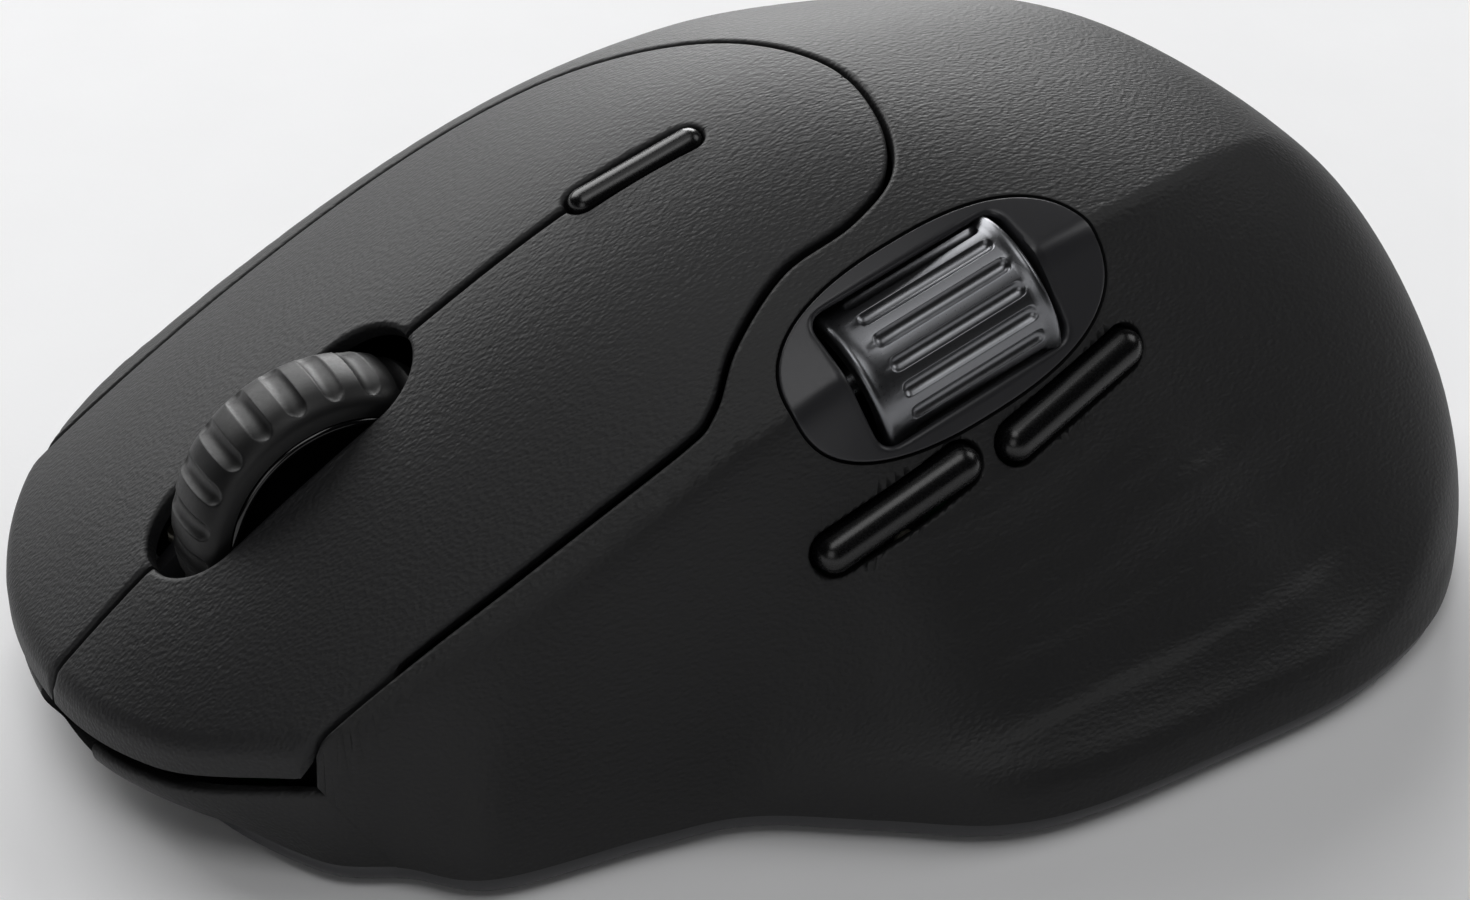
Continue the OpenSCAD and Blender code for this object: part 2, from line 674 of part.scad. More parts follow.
module side_bracket() {
    in_frame() color("#1f5a35") {
        for (m = [front_side, rear_side]) at_side(m)
            translate([stem_x - 3, -5, side_switch_z - side_board_t]) cube([6, 10, side_board_t]);
        // Stepped bar between the two pads
        at_side(front_side) translate([stem_x - 1.5, 3, side_switch_z - 3.1]) cube([3.5, 4, 2.2]);
        at_side(front_side) translate([stem_x - 1.5, 3, side_switch_z - 3.1]) cube([3.5, 11.5, 1.1]);
    }
}

// ---- mode button ----
mode_stem_z = -7;
module mode_button() {
    in_frame() color("#161618") at_mode() {
        translate([0, 0, -2.6]) linear_extrude(3.1) pill(mode_len, mode_w);
        translate([-1, -1.2, mode_stem_z]) cube([2, 2.4, 5]);
    }
}

module mode_board() {
    in_frame() color("#1f5a35") at_mode() translate([-6, -6, frame_z + 1.8]) cube([12, 12, 1]);
}

module mode_switch() {
    in_frame() color("#2a2a2c") at_mode() difference() {
        translate([-2.5, -2.5, frame_z + 2.8]) cube([5, 5, 3]);
        translate([0, 0, frame_z + 4.4]) cylinder(r = 1 + run_gap, h = 3, $fn = 32);
    }
}

module mode_plunger() {
    low = frame_z + 5;
    in_frame() color("#d9d6cc") at_mode() translate([0, 0, low])
        cylinder(r = 1, h = mode_stem_z - 0.1 - low, $fn = 32);
}

// ---- sensor, power and port ----
module optical_sensor() {
    in_frame() color("#19191b") translate([sensor_xy[0] - 5, sensor_xy[1] - 5, board_top]) cube([10, 10, 2]);
}

module sensor_lens() {
    in_frame() color("#cfd8de") translate([sensor_xy[0] - 6, sensor_xy[1] - 5, floor_z + 0.3])
        cube([12, 10, board_z - floor_z - 0.3]);
}

module battery() {
    in_frame() color("#b8bcc4") translate([-17, 33.5, floor_top]) cube([32, battery_len, 7]);
}

module battery_socket() {
    in_frame() color("#e8e4d8") translate([-9, 24.5, board_top]) cube([6, 4, 3.4]);
}

module battery_leads() {
    in_frame() color("#b02a24") for (x = [-7.2, -4.8])
        translate([x, 28.5, board_top + 1.7]) rotate([-90, 0, 0])
        cylinder(r = 0.6, h = 5, $fn = 20);
}

module usb_port() {
    in_frame() color("#a9abae") difference() {
        translate([split_x, -56, port_z]) rotate([-90, 0, 0]) linear_extrude(7.3) rotate(90)
            pill(port_w, port_h);
        translate([split_x, -56.5, port_z]) rotate([-90, 0, 0]) linear_extrude(6) rotate(90)
            difference() {
                pill(port_w - 0.8, port_h - 0.8);
                square([0.7, port_w - 2.2], center = true);
            }
    }
}

module power_switch() {
    in_frame() color("#3a3a3c") translate([power_xy[0] - 4.5, power_xy[1] - 2, board_z - 1]) cube([9, 4, 1]);
}

module power_knob() {
    in_frame() color("#5b5d60") translate([power_xy[0] - 2 - power_travel / 2, power_xy[1] - 1.4, knob_low])
        cube([4, 2.8, board_z - 1.05 - knob_low]);
}

module pair_switch() {
    in_frame() color("#2a2a2c") translate([pair_xy[0] - 2.2, pair_xy[1] - 2.2, board_z - 0.8])
        cube([4.4, 4.4, 0.8]);
}

module pair_button() {
    in_frame() color("#5b5d60") translate([pair_xy[0], pair_xy[1], knob_low])
        cylinder(r = 1.9, h = board_z - 1.25 - knob_low, $fn = 40);
}

// ---- glide feet and fasteners ----
module foot_pad(length, depth) {
    linear_extrude(foot_h) rotate(90) pill(length, depth);
}

module front_glide_foot() {
    in_frame() color("#101012") translate([-4.5, -45.5, 0]) foot_pad(34, 6);
}

module rear_glide_foot() {
    in_frame() color("#101012") translate([0, 55.5, 0]) foot_pad(38, 7);
}

module case_screws() {
    in_frame() color("#8d9094") at_xy(screw_posts) difference() {
        union() {
            translate([0, 0, floor_z + head_deep - 0.85]) cylinder(r = 2.4, h = 0.85, $fn = 40);
            translate([0, 0, floor_z + 0.8]) cylinder(r = screw_r - set_gap, h = 10, $fn = 32);
        }
        cylinder(r = 1.2, h = floor_z + 0.4, $fn = 6);
    }
}

module board_screws() {
    in_frame() color("#8d9094") at_xy(board_posts) {
        translate([0, 0, board_top]) cylinder(r = 2, h = 1.2, $fn = 40);
        translate([0, 0, floor_z + 1.1])
            cylinder(r = board_bore_r - set_gap, h = board_top - floor_z - 1, $fn = 32);
    }
}

base_shell();
front_bumper();
upper_shell();
key_plate();
left_key();
right_key();
inner_frame();
main_board();
wheel_bracket();
wheel_carrier();
carrier_pin();
scroll_tyre();
scroll_hub();
scroll_axle();
scroll_encoder();
left_switch();
right_switch();
middle_switch();
left_switch_plunger();
right_switch_plunger();
middle_switch_plunger();
thumb_bezel();
thumb_wheel_sleeve();
thumb_wheel_core();
thumb_wheel_axle();
thumb_wheel_bracket();
thumb_encoder();
front_side_button();
rear_side_button();
side_bracket();
front_side_switch();
rear_side_switch();
front_side_plunger();
rear_side_plunger();
mode_button();
mode_board();
mode_switch();
mode_plunger();
optical_sensor();
sensor_lens();
battery();
battery_socket();
battery_leads();
usb_port();
power_switch();
power_knob();
pair_switch();
pair_button();
front_glide_foot();
rear_glide_foot();
case_screws();
board_screws();
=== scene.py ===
"""Looks of a cordless right-handed mouse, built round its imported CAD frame."""
import json

import bmesh
import bpy
import numpy as np
from mathutils import Matrix, geometry


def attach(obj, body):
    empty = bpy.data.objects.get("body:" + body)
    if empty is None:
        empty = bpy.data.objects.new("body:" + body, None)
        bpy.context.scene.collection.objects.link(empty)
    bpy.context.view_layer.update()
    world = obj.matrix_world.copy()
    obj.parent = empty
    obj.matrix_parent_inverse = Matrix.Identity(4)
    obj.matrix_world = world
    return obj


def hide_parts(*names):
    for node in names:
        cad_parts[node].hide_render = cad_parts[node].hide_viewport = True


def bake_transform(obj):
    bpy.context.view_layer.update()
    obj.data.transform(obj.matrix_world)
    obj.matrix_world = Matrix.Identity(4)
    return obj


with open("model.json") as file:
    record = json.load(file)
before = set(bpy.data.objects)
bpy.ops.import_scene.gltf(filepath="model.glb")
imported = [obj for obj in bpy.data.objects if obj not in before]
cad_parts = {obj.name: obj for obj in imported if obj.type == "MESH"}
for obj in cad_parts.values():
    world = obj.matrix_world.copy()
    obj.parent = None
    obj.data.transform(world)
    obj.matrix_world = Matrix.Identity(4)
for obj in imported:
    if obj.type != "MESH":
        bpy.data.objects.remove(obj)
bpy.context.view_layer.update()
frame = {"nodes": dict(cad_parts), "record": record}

# ---- dimensions, in millimetres
MM = 0.001
MIDDLE_Y = 3.44
SEAM_Z = 2.8
KEY_GAP = 0.5
SPLIT_X = -4.5
WALL = 1.5
EDGE_R = 0.42

OUTLINE = [[42, 12], [41.5, 26], [39.8, 42], [33.5, 55.5], [20.5, 65.5], [0, 67],
           [-19.5, 59.5], [-33, 45.5], [-40, 27], [-42, 8], [-41.5, -12], [-40, -32],
           [-34.5, -49.5], [-21, -58.5], [-4.5, -60.5], [8, -56.5], [16.8, -47.8],
           [20.8, -41.4], [25.8, -35.5], [27.5, -22], [29.3, -13.5], [35, -4.5], [40.2, 3.5]]
TOP_PROFILE = [[-66, 8], [-50, 21.1], [-30, 33.8], [-10, 43.8], [8, 48], [25, 47.2],
               [45, 43.4], [66, 33.5]]
SPINE = [[-66, -6], [0, -8], [66, -9]]
THUMB_CROWN = [[-66, 0.015], [-40, 0.0145], [-5, 0.0115], [25, 0.0055], [45, 0.004],
               [66, 0.004]]
FAR_CROWN = [[-66, 0.0075], [-25, 0.0097], [0, 0.0105], [66, 0.01]]
SHOULDER = [[-180, 17.5], [-150, 12], [-135, 6], [-122, 2], [-60, 2], [-40, 12], [0, 15],
            [40, 17.5], [60, 20.5], [90, 24], [135, 24], [160, 21], [180, 17.5]]
SHOULDER_POWER = 2.8
CREASE = [[17.75, -46.4], [18.7, -43.2], [19.2, -39.5], [19.9, -35], [21.4, -24], [22, -12],
          [21.7, 0], [20.9, 12], [19.2, 24], [16.4, 35], [12.5, 45], [8, 54]]
HOLLOW = [[-75, 1.15], [-60, 1.15], [-45, 1.35], [-20, 1.6], [0, 1.75], [25, 1.7],
          [45, 1.45], [60, 1.25], [80, 1.2]]
LIP_H = 4
LIP_W = 2.2
LIP_POWER = 2.2
KEY_EDGE = [[-32, -70], [-32, -42], [-30.7, -25], [-27, -7.5], [-22.8, 2], [-16, 10],
            [-7, 14.8], [1.5, 14.5], [8, 11.5], [11, 6], [12, -1], [15, -7.2], [18, -10.8],
            [18.8, -14.5], [18.3, -28], [17.3, -44], [16.8, -70]]
FRONT_SECTOR = (-124, -67)
SHARE_IN = (-78, -62)
SHARE_OUT = (48, 84)
# Half the width over which the thumb side's crown turns into the far side's
CROWN_BLEND = 10
# Reach of the rounding of the crease, its share at the front, where it grows to the full reach,
# and the most of the room to the rim that it takes
CREASE_ROUND = 0.75
FRONT_SHARE = 0.1
CREASE_OPENS = (-46, -33)
RIM_SHARE = 0.7
# Flowing ridges moulded into the thumb rest: plan points along each crest
WAVES = [[[25.9, -6.5], [27.6, 3.6], [27.3, 14.6], [26.3, 22]],
         [[28.2, -4.1], [30, 6.6], [29.1, 19.6], [26.4, 33.5]],
         [[30.1, -2.3], [31.9, 8.8], [30.5, 23.2], [28.6, 33.1], [27, 42.2]],
         [[33.2, 2], [34.2, 8], [33.9, 16.9], [32.6, 30.8], [29.6, 43.7]],
         [[36.6, 2], [38, 8], [37.2, 21.8], [36.1, 33.2], [33.3, 46.7]]]
WAVE_H = 0.38
# Width of a ridge on its inner and outer side, and where it rises and fades, from its ends
WAVE_INNER, WAVE_OUTER = 0.75, 1.9
WAVE_RISE, WAVE_FADE = (-2, 9), (-12, 2)
# Steepest slope along which a ridge still keeps its height
WAVE_SLOPE = 3
# Edges sharper than this many degrees stay sharp in the shading
SHARP_ANGLE = 38
# Distances beside a seam at which points follow its rounded edge, as shares of the edge's radius
FILLET_STEPS = (0.08, 0.25, 0.5, 0.8, 1.15)


# ---- shape of the top
def spline(points, steps=16, closed=False):
    p = np.array(points, float)
    if closed:
        q = np.vstack([p[-1:], p, p[:2]])
    else:
        q = np.vstack([2 * p[0] - p[1], p, 2 * p[-1] - p[-2]])
    t = (np.arange(steps) / steps)[:, None]
    parts = [0.5 * (2 * b + (c - a) * t + (2 * a - 5 * b + 4 * c - d) * t ** 2
                    + (3 * b - a - 3 * c + d) * t ** 3)
             for a, b, c, d in zip(q, q[1:], q[2:], q[3:])]
    curve = np.vstack(parts)
    return curve if closed else np.vstack([curve, p[-1:]])


def angle_of(x, y):
    return np.degrees(np.arctan2(y, x))


def smooth_step(a, b, t):
    s = np.clip((t - a) / (b - a), 0, 1)
    return s * s * (3 - 2 * s)


def round_over(s, power):
    return (1 - (1 - np.clip(s, 0, 1)) ** power) ** (1 / power)


def read(curve, t):
    return np.interp(t, curve[:, 0], curve[:, 1])


outline_curve = spline(OUTLINE, closed=True)
outline_start = angle_of(*OUTLINE[0])
outline_angle = angle_of(outline_curve[:, 0], outline_curve[:, 1])
outline_angle = np.where(outline_angle < outline_start - 0.01, outline_angle + 360, outline_angle)
rim_by_angle = np.column_stack([np.append(outline_angle, outline_start + 360),
                                np.append(np.hypot(*outline_curve.T), np.hypot(*OUTLINE[0]))])
crease_curve = spline(CREASE)
crease_by_angle = np.column_stack([angle_of(*crease_curve.T), np.hypot(*crease_curve.T)])
profile_curve, spine_curve = spline(TOP_PROFILE), spline(SPINE)
thumb_crown_curve, far_crown_curve = spline(THUMB_CROWN), spline(FAR_CROWN)
shoulder_curve, hollow_curve = spline(SHOULDER), spline(HOLLOW)


def rim_r(a):
    return read(rim_by_angle, np.where(a < outline_start, a + 360, a))


def crown(x, y):
    u = x - read(spine_curve, y)
    far = read(far_crown_curve, y)
    c = far + (read(thumb_crown_curve, y) - far) * smooth_step(-CROWN_BLEND, CROWN_BLEND, u)
    return read(profile_curve, y) - c * u * u


def thumb_share(a):
    return smooth_step(*SHARE_IN, a) * (1 - smooth_step(*SHARE_OUT, a))


def sharp_top(x, y):
    """Height of the top with its crease and lower lip still sharp."""
    a, rho = angle_of(x, y), np.hypot(x, y)
    rim = rim_r(a)
    d = np.maximum(rim - rho, 0)
    convex = (crown(x, y) - SEAM_Z) * round_over(d / read(shoulder_curve, a), SHOULDER_POWER)
    ridge = read(crease_by_angle, a)
    q = np.clip((rho - ridge) / (rim - ridge), 0, 1)
    k = np.where(rho > ridge, ridge / np.maximum(rho, 1e-6), 1)
    fall = (crown(x * k, y * k) - SEAM_Z - LIP_H) * (1 - q) ** read(hollow_curve, a) + LIP_H
    lip = np.minimum(fall, LIP_H * round_over(d / LIP_W, LIP_POWER) + np.maximum(fall - LIP_H, 0))
    hollowed = np.where(rho <= ridge, crown(x, y) - SEAM_Z, lip)
    m = thumb_share(a)
    return SEAM_Z + convex * (1 - m) + hollowed * m


def top(x, y):
    """Height of the top, with its crease rounded over by averaging round each point."""
    x, y = np.asarray(x, float), np.asarray(y, float)
    room = np.maximum(rim_r(angle_of(x, y)) - np.hypot(x, y), 0)
    opened = FRONT_SHARE + (1 - FRONT_SHARE) * smooth_step(*CREASE_OPENS, y)
    reach = np.minimum(CREASE_ROUND * opened, RIM_SHARE * room)
    total, weight = sharp_top(x, y) * 2, 2.0
    for share, count in ((0.5, 6), (1.0, 10)):
        for i in range(count):
            t = 2 * np.pi * (i + share) / count
            total = total + sharp_top(x + share * reach * np.cos(t), y + share * reach * np.sin(t))
            weight += 1
    across = (sharp_top(x + 1, y) - sharp_top(x - 1, y)) / 2
    return total / weight + waves(x, y) * np.sqrt(1 + np.minimum(across ** 2, WAVE_SLOPE ** 2))


wave_curves = [spline(w) for w in WAVES]


def waves(x, y):
    """Soft stepped ridges: each crest rises slowly from outside and drops on its inner side."""
    total = np.zeros_like(x)
    for curve in wave_curves:
        low, high = curve[0, 1], curve[-1, 1]
        at = np.interp(y, curve[:, 1], curve[:, 0])
        s = x - at
        rise = smooth_step(low + WAVE_RISE[0], low + WAVE_RISE[1], y)
        ends = rise * (1 - smooth_step(high + WAVE_FADE[0], high + WAVE_FADE[1], y))
        shape = np.where(s < 0, np.exp(-(s / WAVE_INNER) ** 2), np.exp(-(s / WAVE_OUTER) ** 2))
        total = total + WAVE_H * ends * shape
    return total


def normals(x, y, step=0.04):
    gx = (top(x + step, y) - top(x - step, y)) / (2 * step)
    gy = (top(x, y + step) - top(x, y - step)) / (2 * step)
    n = np.stack([-gx, -gy, np.ones_like(gx)], -1)
    return n / np.linalg.norm(n, axis=-1, keepdims=True)


# ---- mesh helpers
def to_frame(points):
    return (np.asarray(points, float) - [0, MIDDLE_Y, 0]) * MM


def add_piece(name, verts, faces, material, body, replaces=(), sharp=SHARP_ANGLE):
    """Adds a piece that rides on a body. Given (body, body, start, end) in place of a body, these are not
    used, and the piece stays where it stands, on no body.
    """
    mesh = bpy.data.meshes.new(name)
    mesh.from_pydata(to_frame(verts).tolist(), [], [list(map(int, f)) for f in faces])
    mesh.validate()
    mesh.polygons.foreach_set("use_smooth", [True] * len(mesh.polygons))
    mesh.set_sharp_from_angle(angle=np.radians(sharp))
    mesh.update()
    piece = bpy.data.objects.new(name, mesh)
    bpy.context.scene.collection.objects.link(piece)
    mesh.materials.append(material)
    if isinstance(body, str):
        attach(piece, body)
    else:
        first, second, start, end = body
        to_frame(start).tolist()
        to_frame(end).tolist()
        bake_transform(piece)
    if replaces:
        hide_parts(*replaces)
    return piece


def in_polygon(points, polygon):
    x, y = points[:, :1], points[:, 1:]
    x1, y1 = polygon[:, 0], polygon[:, 1]
    x2, y2 = np.roll(x1, -1), np.roll(y1, -1)
    crosses = (y1 > y) != (y2 > y)
    with np.errstate(divide="ignore", invalid="ignore"):
        at = (x2 - x1) * (y - y1) / (y2 - y1) + x1
    return (crosses & (x < at)).sum(1) % 2 == 1


def distance_to(points, line, closed=False):
    a = line
    b = np.roll(line, -1, 0)
    if not closed:
        a, b = a[:-1], b[:-1]
    best = np.full(len(points), 1e9)
    for start in range(0, len(points), 4000):
        p = points[start:start + 4000, None]
        ab = b - a
        t = np.clip(((p - a) * ab).sum(-1) / np.maximum((ab * ab).sum(-1), 1e-12), 0, 1)
        gap = np.linalg.norm(p - (a + t[..., None] * ab), axis=-1).min(1)
        best[start:start + 4000] = gap
    return best


def beside(line):
    """Unit vectors in plan at right angles to a line, on its left."""
    d = np.gradient(line, axis=0)
    t = d / np.maximum(np.linalg.norm(d, axis=1, keepdims=True), 1e-9)
    return np.column_stack([-t[:, 1], t[:, 0]])


def resample(line, step, closed=False):
    p = np.vstack([line, line[:1]]) if closed else line
    along = np.concatenate([[0], np.cumsum(np.linalg.norm(np.diff(p, axis=0), axis=1))])
    count = max(2, int(round(along[-1] / step)))
    at = np.linspace(0, along[-1], count + 1)
    out = np.column_stack([np.interp(at, along, p[:, k]) for k in range(p.shape[1])])
    return out[:-1] if closed else out


def fillet_drop(d, r):
    """How far an edge of radius r has fallen at distance d from it."""
    inside = np.clip(r - d, 0, r)
    return r - np.sqrt(np.maximum(r * r - inside * inside, 0))


def triangulate(loops, points, inside):
    """Delaunay triangles over plan points that follow the loops."""
    verts, edges = [], []
    for loop in loops:
        first = len(verts)
        verts += loop.tolist()
        edges += [(first + i, first + (i + 1) % len(loop)) for i in range(len(loop))]
    verts += points.tolist()
    found = geometry.delaunay_2d_cdt(verts, edges, [], 0, 1e-4, False)
    xy = np.array([tuple(v) for v in found[0]])
    faces = np.array([f for f in found[2] if len(f) == 3])
    faces = faces[inside(xy[faces].mean(1))]
    used, back = np.unique(faces, return_inverse=True)
    return xy[used], back.reshape(-1, 3)


def boundary_edges(faces):
    seen = {}
    for a, b, c in faces:
        for e in ((a, b), (b, c), (c, a)):
            key = (min(e), max(e))
            seen[key] = None if key in seen else e
    return [e for e in seen.values() if e is not None]


def thick_skin(outer, inner, faces):
    """Closed solid from a skin, its copy inside and walls round every free edge."""
    n = len(outer)
    walls = [(b, a, n + a, n + b) for a, b in boundary_edges(faces.tolist())]
    return np.vstack([outer, inner]), faces.tolist() + (faces[:, ::-1] + n).tolist() + walls


# Distance between the rows of a grid of equal triangles, for a side of 1
HEX_ROW = 0.866


def hex_points(low, high, step):
    """Grid of points in equal triangles between two corners."""
    rows = int((high[1] - low[1]) / (step * HEX_ROW)) + 1
    out = []
    for j in range(rows):
        xs = np.arange(low[0] + (j % 2) * step / 2, high[0], step)
        out.append(np.column_stack([xs, np.full(len(xs), low[1] + j * step * HEX_ROW)]))
    return np.vstack(out)


def offset_rings(line, sides=(1, -1)):
    """Points beside a seam, close enough together to round its edge over."""
    n = beside(line)
    return np.vstack([line + s * d * EDGE_R * n for s in sides for d in FILLET_STEPS])


def thin_out(points, keep_off, reach):
    return points[distance_to(points, keep_off) > reach] if len(points) else points


# ---- local frames of the controls
def turn(axis, degrees):
    return np.array(Matrix.Rotation(np.radians(degrees), 3, axis))


def unit(v):
    v = np.array(v, float)
    return v / np.linalg.norm(v)


def placed(centre, along, out):
    y = unit(along)
    z = unit(np.array(out, float) - np.dot(out, y) * y)
    return np.array(centre, float), np.column_stack([np.cross(y, z), y, z])


THUMB = (np.array([20.5, 9.5, 38.5]), turn("X", 17.2) @ turn("Y", 47))
MODE = (np.array([SPLIT_X, -5.7, 45]), turn("X", 16.5))
FRONT_SIDE = placed([25.9, 2, 26.1], [0.03, 0.92, 0.39], [0.91, -0.2, 0.37])
REAR_SIDE = placed([24.9, 19.2, 31.1], [-0.168, 0.926, 0.329], [0.92, 0.01, 0.4])


def out_of(place, local):
    return place[0] + np.asarray(local) @ place[1].T


def into(place, points):
    return (np.asarray(points) - place[0]) @ place[1]


def on_surface(place, xy, low=-9.0, high=7.0):
    """Height in a local frame at which its Z line meets the top, and the point there."""
    lo, hi = np.full(len(xy), low), np.full(len(xy), high)
    for _ in range(34):
        mid = (lo + hi) / 2
        p = out_of(place, np.column_stack([xy, mid]))
        above = p[:, 2] > top(p[:, 0], p[:, 1])
        lo, hi = np.where(above, lo, mid), np.where(above, mid, hi)
    return out_of(place, np.column_stack([xy, (lo + hi) / 2]))


def pill(length, width, inset=0.0, ends=16, straight=14):
    """Pill outline, long along Y, drawn in by an inset."""
    r, h = max(width / 2 - inset, 0.0), (length - width) / 2
    t = np.linspace(0, np.pi, ends + 1)
    y = np.linspace(-h, h, straight + 1)[1:-1]
    top_end = np.column_stack([r * np.cos(t), h + r * np.sin(t)])
    left = np.column_stack([np.full(len(y), -r), y[::-1]])
    return np.vstack([top_end, left, -top_end, -left])


# Half width and half length of the bezel's squarish oval, and the power that squares it
OVAL_HALF = (8.2, 15.4)
OVAL_POWER = 0.82


def oval(grow, count=120):
    a = np.linspace(0, 2 * np.pi, count, endpoint=False)
    c, s = np.cos(a), np.sin(a)
    return np.column_stack([(OVAL_HALF[0] + grow) * np.sign(c) * np.abs(c) ** OVAL_POWER,
                            (OVAL_HALF[1] + grow) * np.sign(s) * np.abs(s) ** OVAL_POWER])


def pill_distance(xy, length, width):
    h = (length - width) / 2
    return np.hypot(xy[:, 0], np.maximum(np.abs(xy[:, 1]) - h, 0)) - width / 2


def oval_distance(xy, grow):
    return distance_to(xy, oval(grow, 240), closed=True)


# ---- materials
def linear(code):
    channel = [int(code[i:i + 2], 16) / 255 for i in (1, 3, 5)]
    return [c / 12.92 if c <= 0.04045 else ((c + 0.055) / 1.055) ** 2.4 for c in channel] + [1]


def add_node(tree, kind, settings=None, **inputs):
    made = tree.nodes.new("ShaderNode" + kind)
    for name, value in (settings or {}).items():
        setattr(made, name, value)
    for name, value in inputs.items():
        numbered = name[0] == "i" and name[1:].isdigit()
        socket = made.inputs[int(name[1:]) if numbered else name.replace("_", " ")]
        if isinstance(value, bpy.types.NodeSocket):
            tree.links.new(value, socket)
        else:
            socket.default_value = value
    return made


# Size of the slow mottling, and octaves of every pattern
MOTTLE_MM = 14
DETAIL = 3.0


def finish(name, dark, light, rough, grain_mm, depth_mm, stretch=(1, 1, 1), tilt=(0, 0, 0),
           kind="noise", **shader):
    """A solid finish: two shades mixed by slow mottling, and a fine grain that bumps the surface and sets
    its roughness between two values.
    """
    made = bpy.data.materials.new(name)
    made.use_nodes = True
    tree = made.node_tree
    tree.nodes.clear()
    place = add_node(tree, "TexCoord").outputs["Object"]
    laid = add_node(tree, "Mapping", i0=place, Scale=stretch, Rotation=tilt).outputs[0]
    if kind == "cells":
        fine = add_node(tree, "TexVoronoi", {"feature": "SMOOTH_F1"}, Vector=laid,
                        Scale=1 / (grain_mm * MM), Smoothness=0.6).outputs["Distance"]
        wander = add_node(tree, "TexNoise", Vector=laid, Scale=1.4 / (grain_mm * MM),
                          Detail=DETAIL).outputs[0]
        height = add_node(tree, "Math", {"operation": "MULTIPLY_ADD"}, i0=wander, i1=0.9,
                          i2=fine).outputs[0]
    else:
        height = add_node(tree, "TexNoise", Vector=laid, Scale=1 / (grain_mm * MM), Detail=DETAIL,
                          Roughness=0.55, Distortion=0.4).outputs[0]
    slow = add_node(tree, "TexNoise", Vector=place, Scale=1 / (MOTTLE_MM * MM), Detail=DETAIL).outputs[0]
    shade = add_node(tree, "Mix", {"data_type": "RGBA"}, i0=slow, i6=linear(dark),
                     i7=linear(light)).outputs[2]
    gloss = add_node(tree, "MapRange", Value=height, i1=0.3, i2=0.7, i3=rough[0], i4=rough[1]).outputs[0]
    bump = add_node(tree, "Bump", Height=height, Distance=depth_mm * MM, Strength=1.0).outputs[0]
    body = add_node(tree, "BsdfPrincipled", Base_Color=shade, Roughness=gloss, Normal=bump, **shader)
    add_node(tree, "OutputMaterial", Surface=body.outputs[0])
    return made


# Moulded ABS with a fine leather-like spark-eroded grain: matte, with a soft sheen at a low angle
grained_shell = finish("grained_shell_abs", "#131314", "#161617", (0.42, 0.54), 0.30, 0.045,
                       stretch=(1.0, 0.5, 0.8), tilt=(0, 0, 0.5), kind="cells", IOR=1.5,
                       Specular_IOR_Level=0.42)
# The same moulding for the keys, a touch lighter
grained_key = finish("grained_key_abs", "#151516", "#18181a", (0.42, 0.54), 0.30, 0.045,
                     stretch=(1.0, 0.5, 0.8), tilt=(0, 0, 0.9), kind="cells", IOR=1.5,
                     Specular_IOR_Level=0.42)
# Satin moulded ABS of the base: almost smooth, so it shows as a lighter band
satin_base = finish("satin_base_abs", "#37373a", "#3e3e40", (0.30, 0.40), 0.3, 0.006, IOR=1.5)
# Satin painted plastic of the bezel round the thumb wheel
satin_bezel = finish("satin_bezel_paint", "#2c2c2f", "#313133", (0.31, 0.39), 0.16, 0.003, IOR=1.5,
                     Metallic=0.25)
# Polished black buttons with a very faint texture
satin_button = finish("satin_button_abs", "#050506", "#070708", (0.24, 0.30), 0.2, 0.0005, IOR=1.5)
# Soft black rubber of the tyre: a dull, even sheen
tyre_rubber = finish("soft_tyre_rubber", "#080809", "#0a0a0b", (0.42, 0.52), 0.25, 0.006, IOR=1.52,
                     Specular_IOR_Level=0.36)
# Glossy moulded ABS of the hub: small sharp reflections
gloss_hub = finish("gloss_hub_abs", "#050506", "#080809", (0.10, 0.16), 2.0, 0.002, IOR=1.5)
# Fine-blasted plated metal of the thumb wheel: broad soft highlights
blasted_metal = finish("blasted_wheel_plating", "#737477", "#7e7f82", (0.27, 0.36), 0.12, 0.004,
                       Metallic=1.0)
# Ground steel pins and screws: bright, with fine lines along X
ground_steel = finish("ground_pin_steel", "#a2a4a8", "#b4b6ba", (0.24, 0.34), 0.4, 0.004,
                      stretch=(0.2, 1, 1), Metallic=1.0)
# Plain grey moulding of the inner frame: dull and even
frame_moulding = finish("grey_frame_moulding", "#343437", "#3d3d40", (0.5, 0.6), 0.3, 0.012, IOR=1.5)
# Green solder mask over woven glass board: glossy, with a faint weave
solder_mask = finish("green_solder_mask", "#0e4a24", "#175c30", (0.28, 0.42), 0.8, 0.01,
                     stretch=(1, 1, 0.2), kind="cells", IOR=1.5)
# Black epoxy of the switches and chips: matte
epoxy_black = finish("black_epoxy_moulding", "#161618", "#1d1d20", (0.45, 0.55), 0.25, 0.008, IOR=1.55)
# Blue glass-filled nylon of the encoders: slightly dull
encoder_blue = finish("blue_encoder_nylon", "#1d3f63", "#254d77", (0.42, 0.52), 0.3, 0.008, IOR=1.53)
# Natural nylon of the small plungers: creamy and soft
natural_nylon = finish("natural_plunger_nylon", "#cfcabb", "#dbd6c8", (0.4, 0.5), 0.4, 0.006, IOR=1.53)
# Clear acrylic lens: see-through and glossy
acrylic_lens = finish("clear_lens_acrylic", "#dfe6ea", "#eef3f5", (0.03, 0.06), 3.0, 0.001, IOR=1.49,
                      Transmission_Weight=0.85)
# Aluminium pouch foil, slightly creased
pouch_foil = finish("crinkled_pouch_foil", "#9a9ea5", "#b4b8bf", (0.25, 0.4), 3.0, 0.08, Metallic=1.0)
# Red silicone wire insulation: rubbery, with little sheen
lead_silicone = finish("red_lead_silicone", "#8f1d16", "#a5261d", (0.4, 0.5), 0.5, 0.006, IOR=1.43)
# Cream nylon of the battery socket: matte
cream_nylon = finish("cream_socket_nylon", "#d8d0bb", "#e3dcc9", (0.45, 0.55), 0.4, 0.008, IOR=1.53)
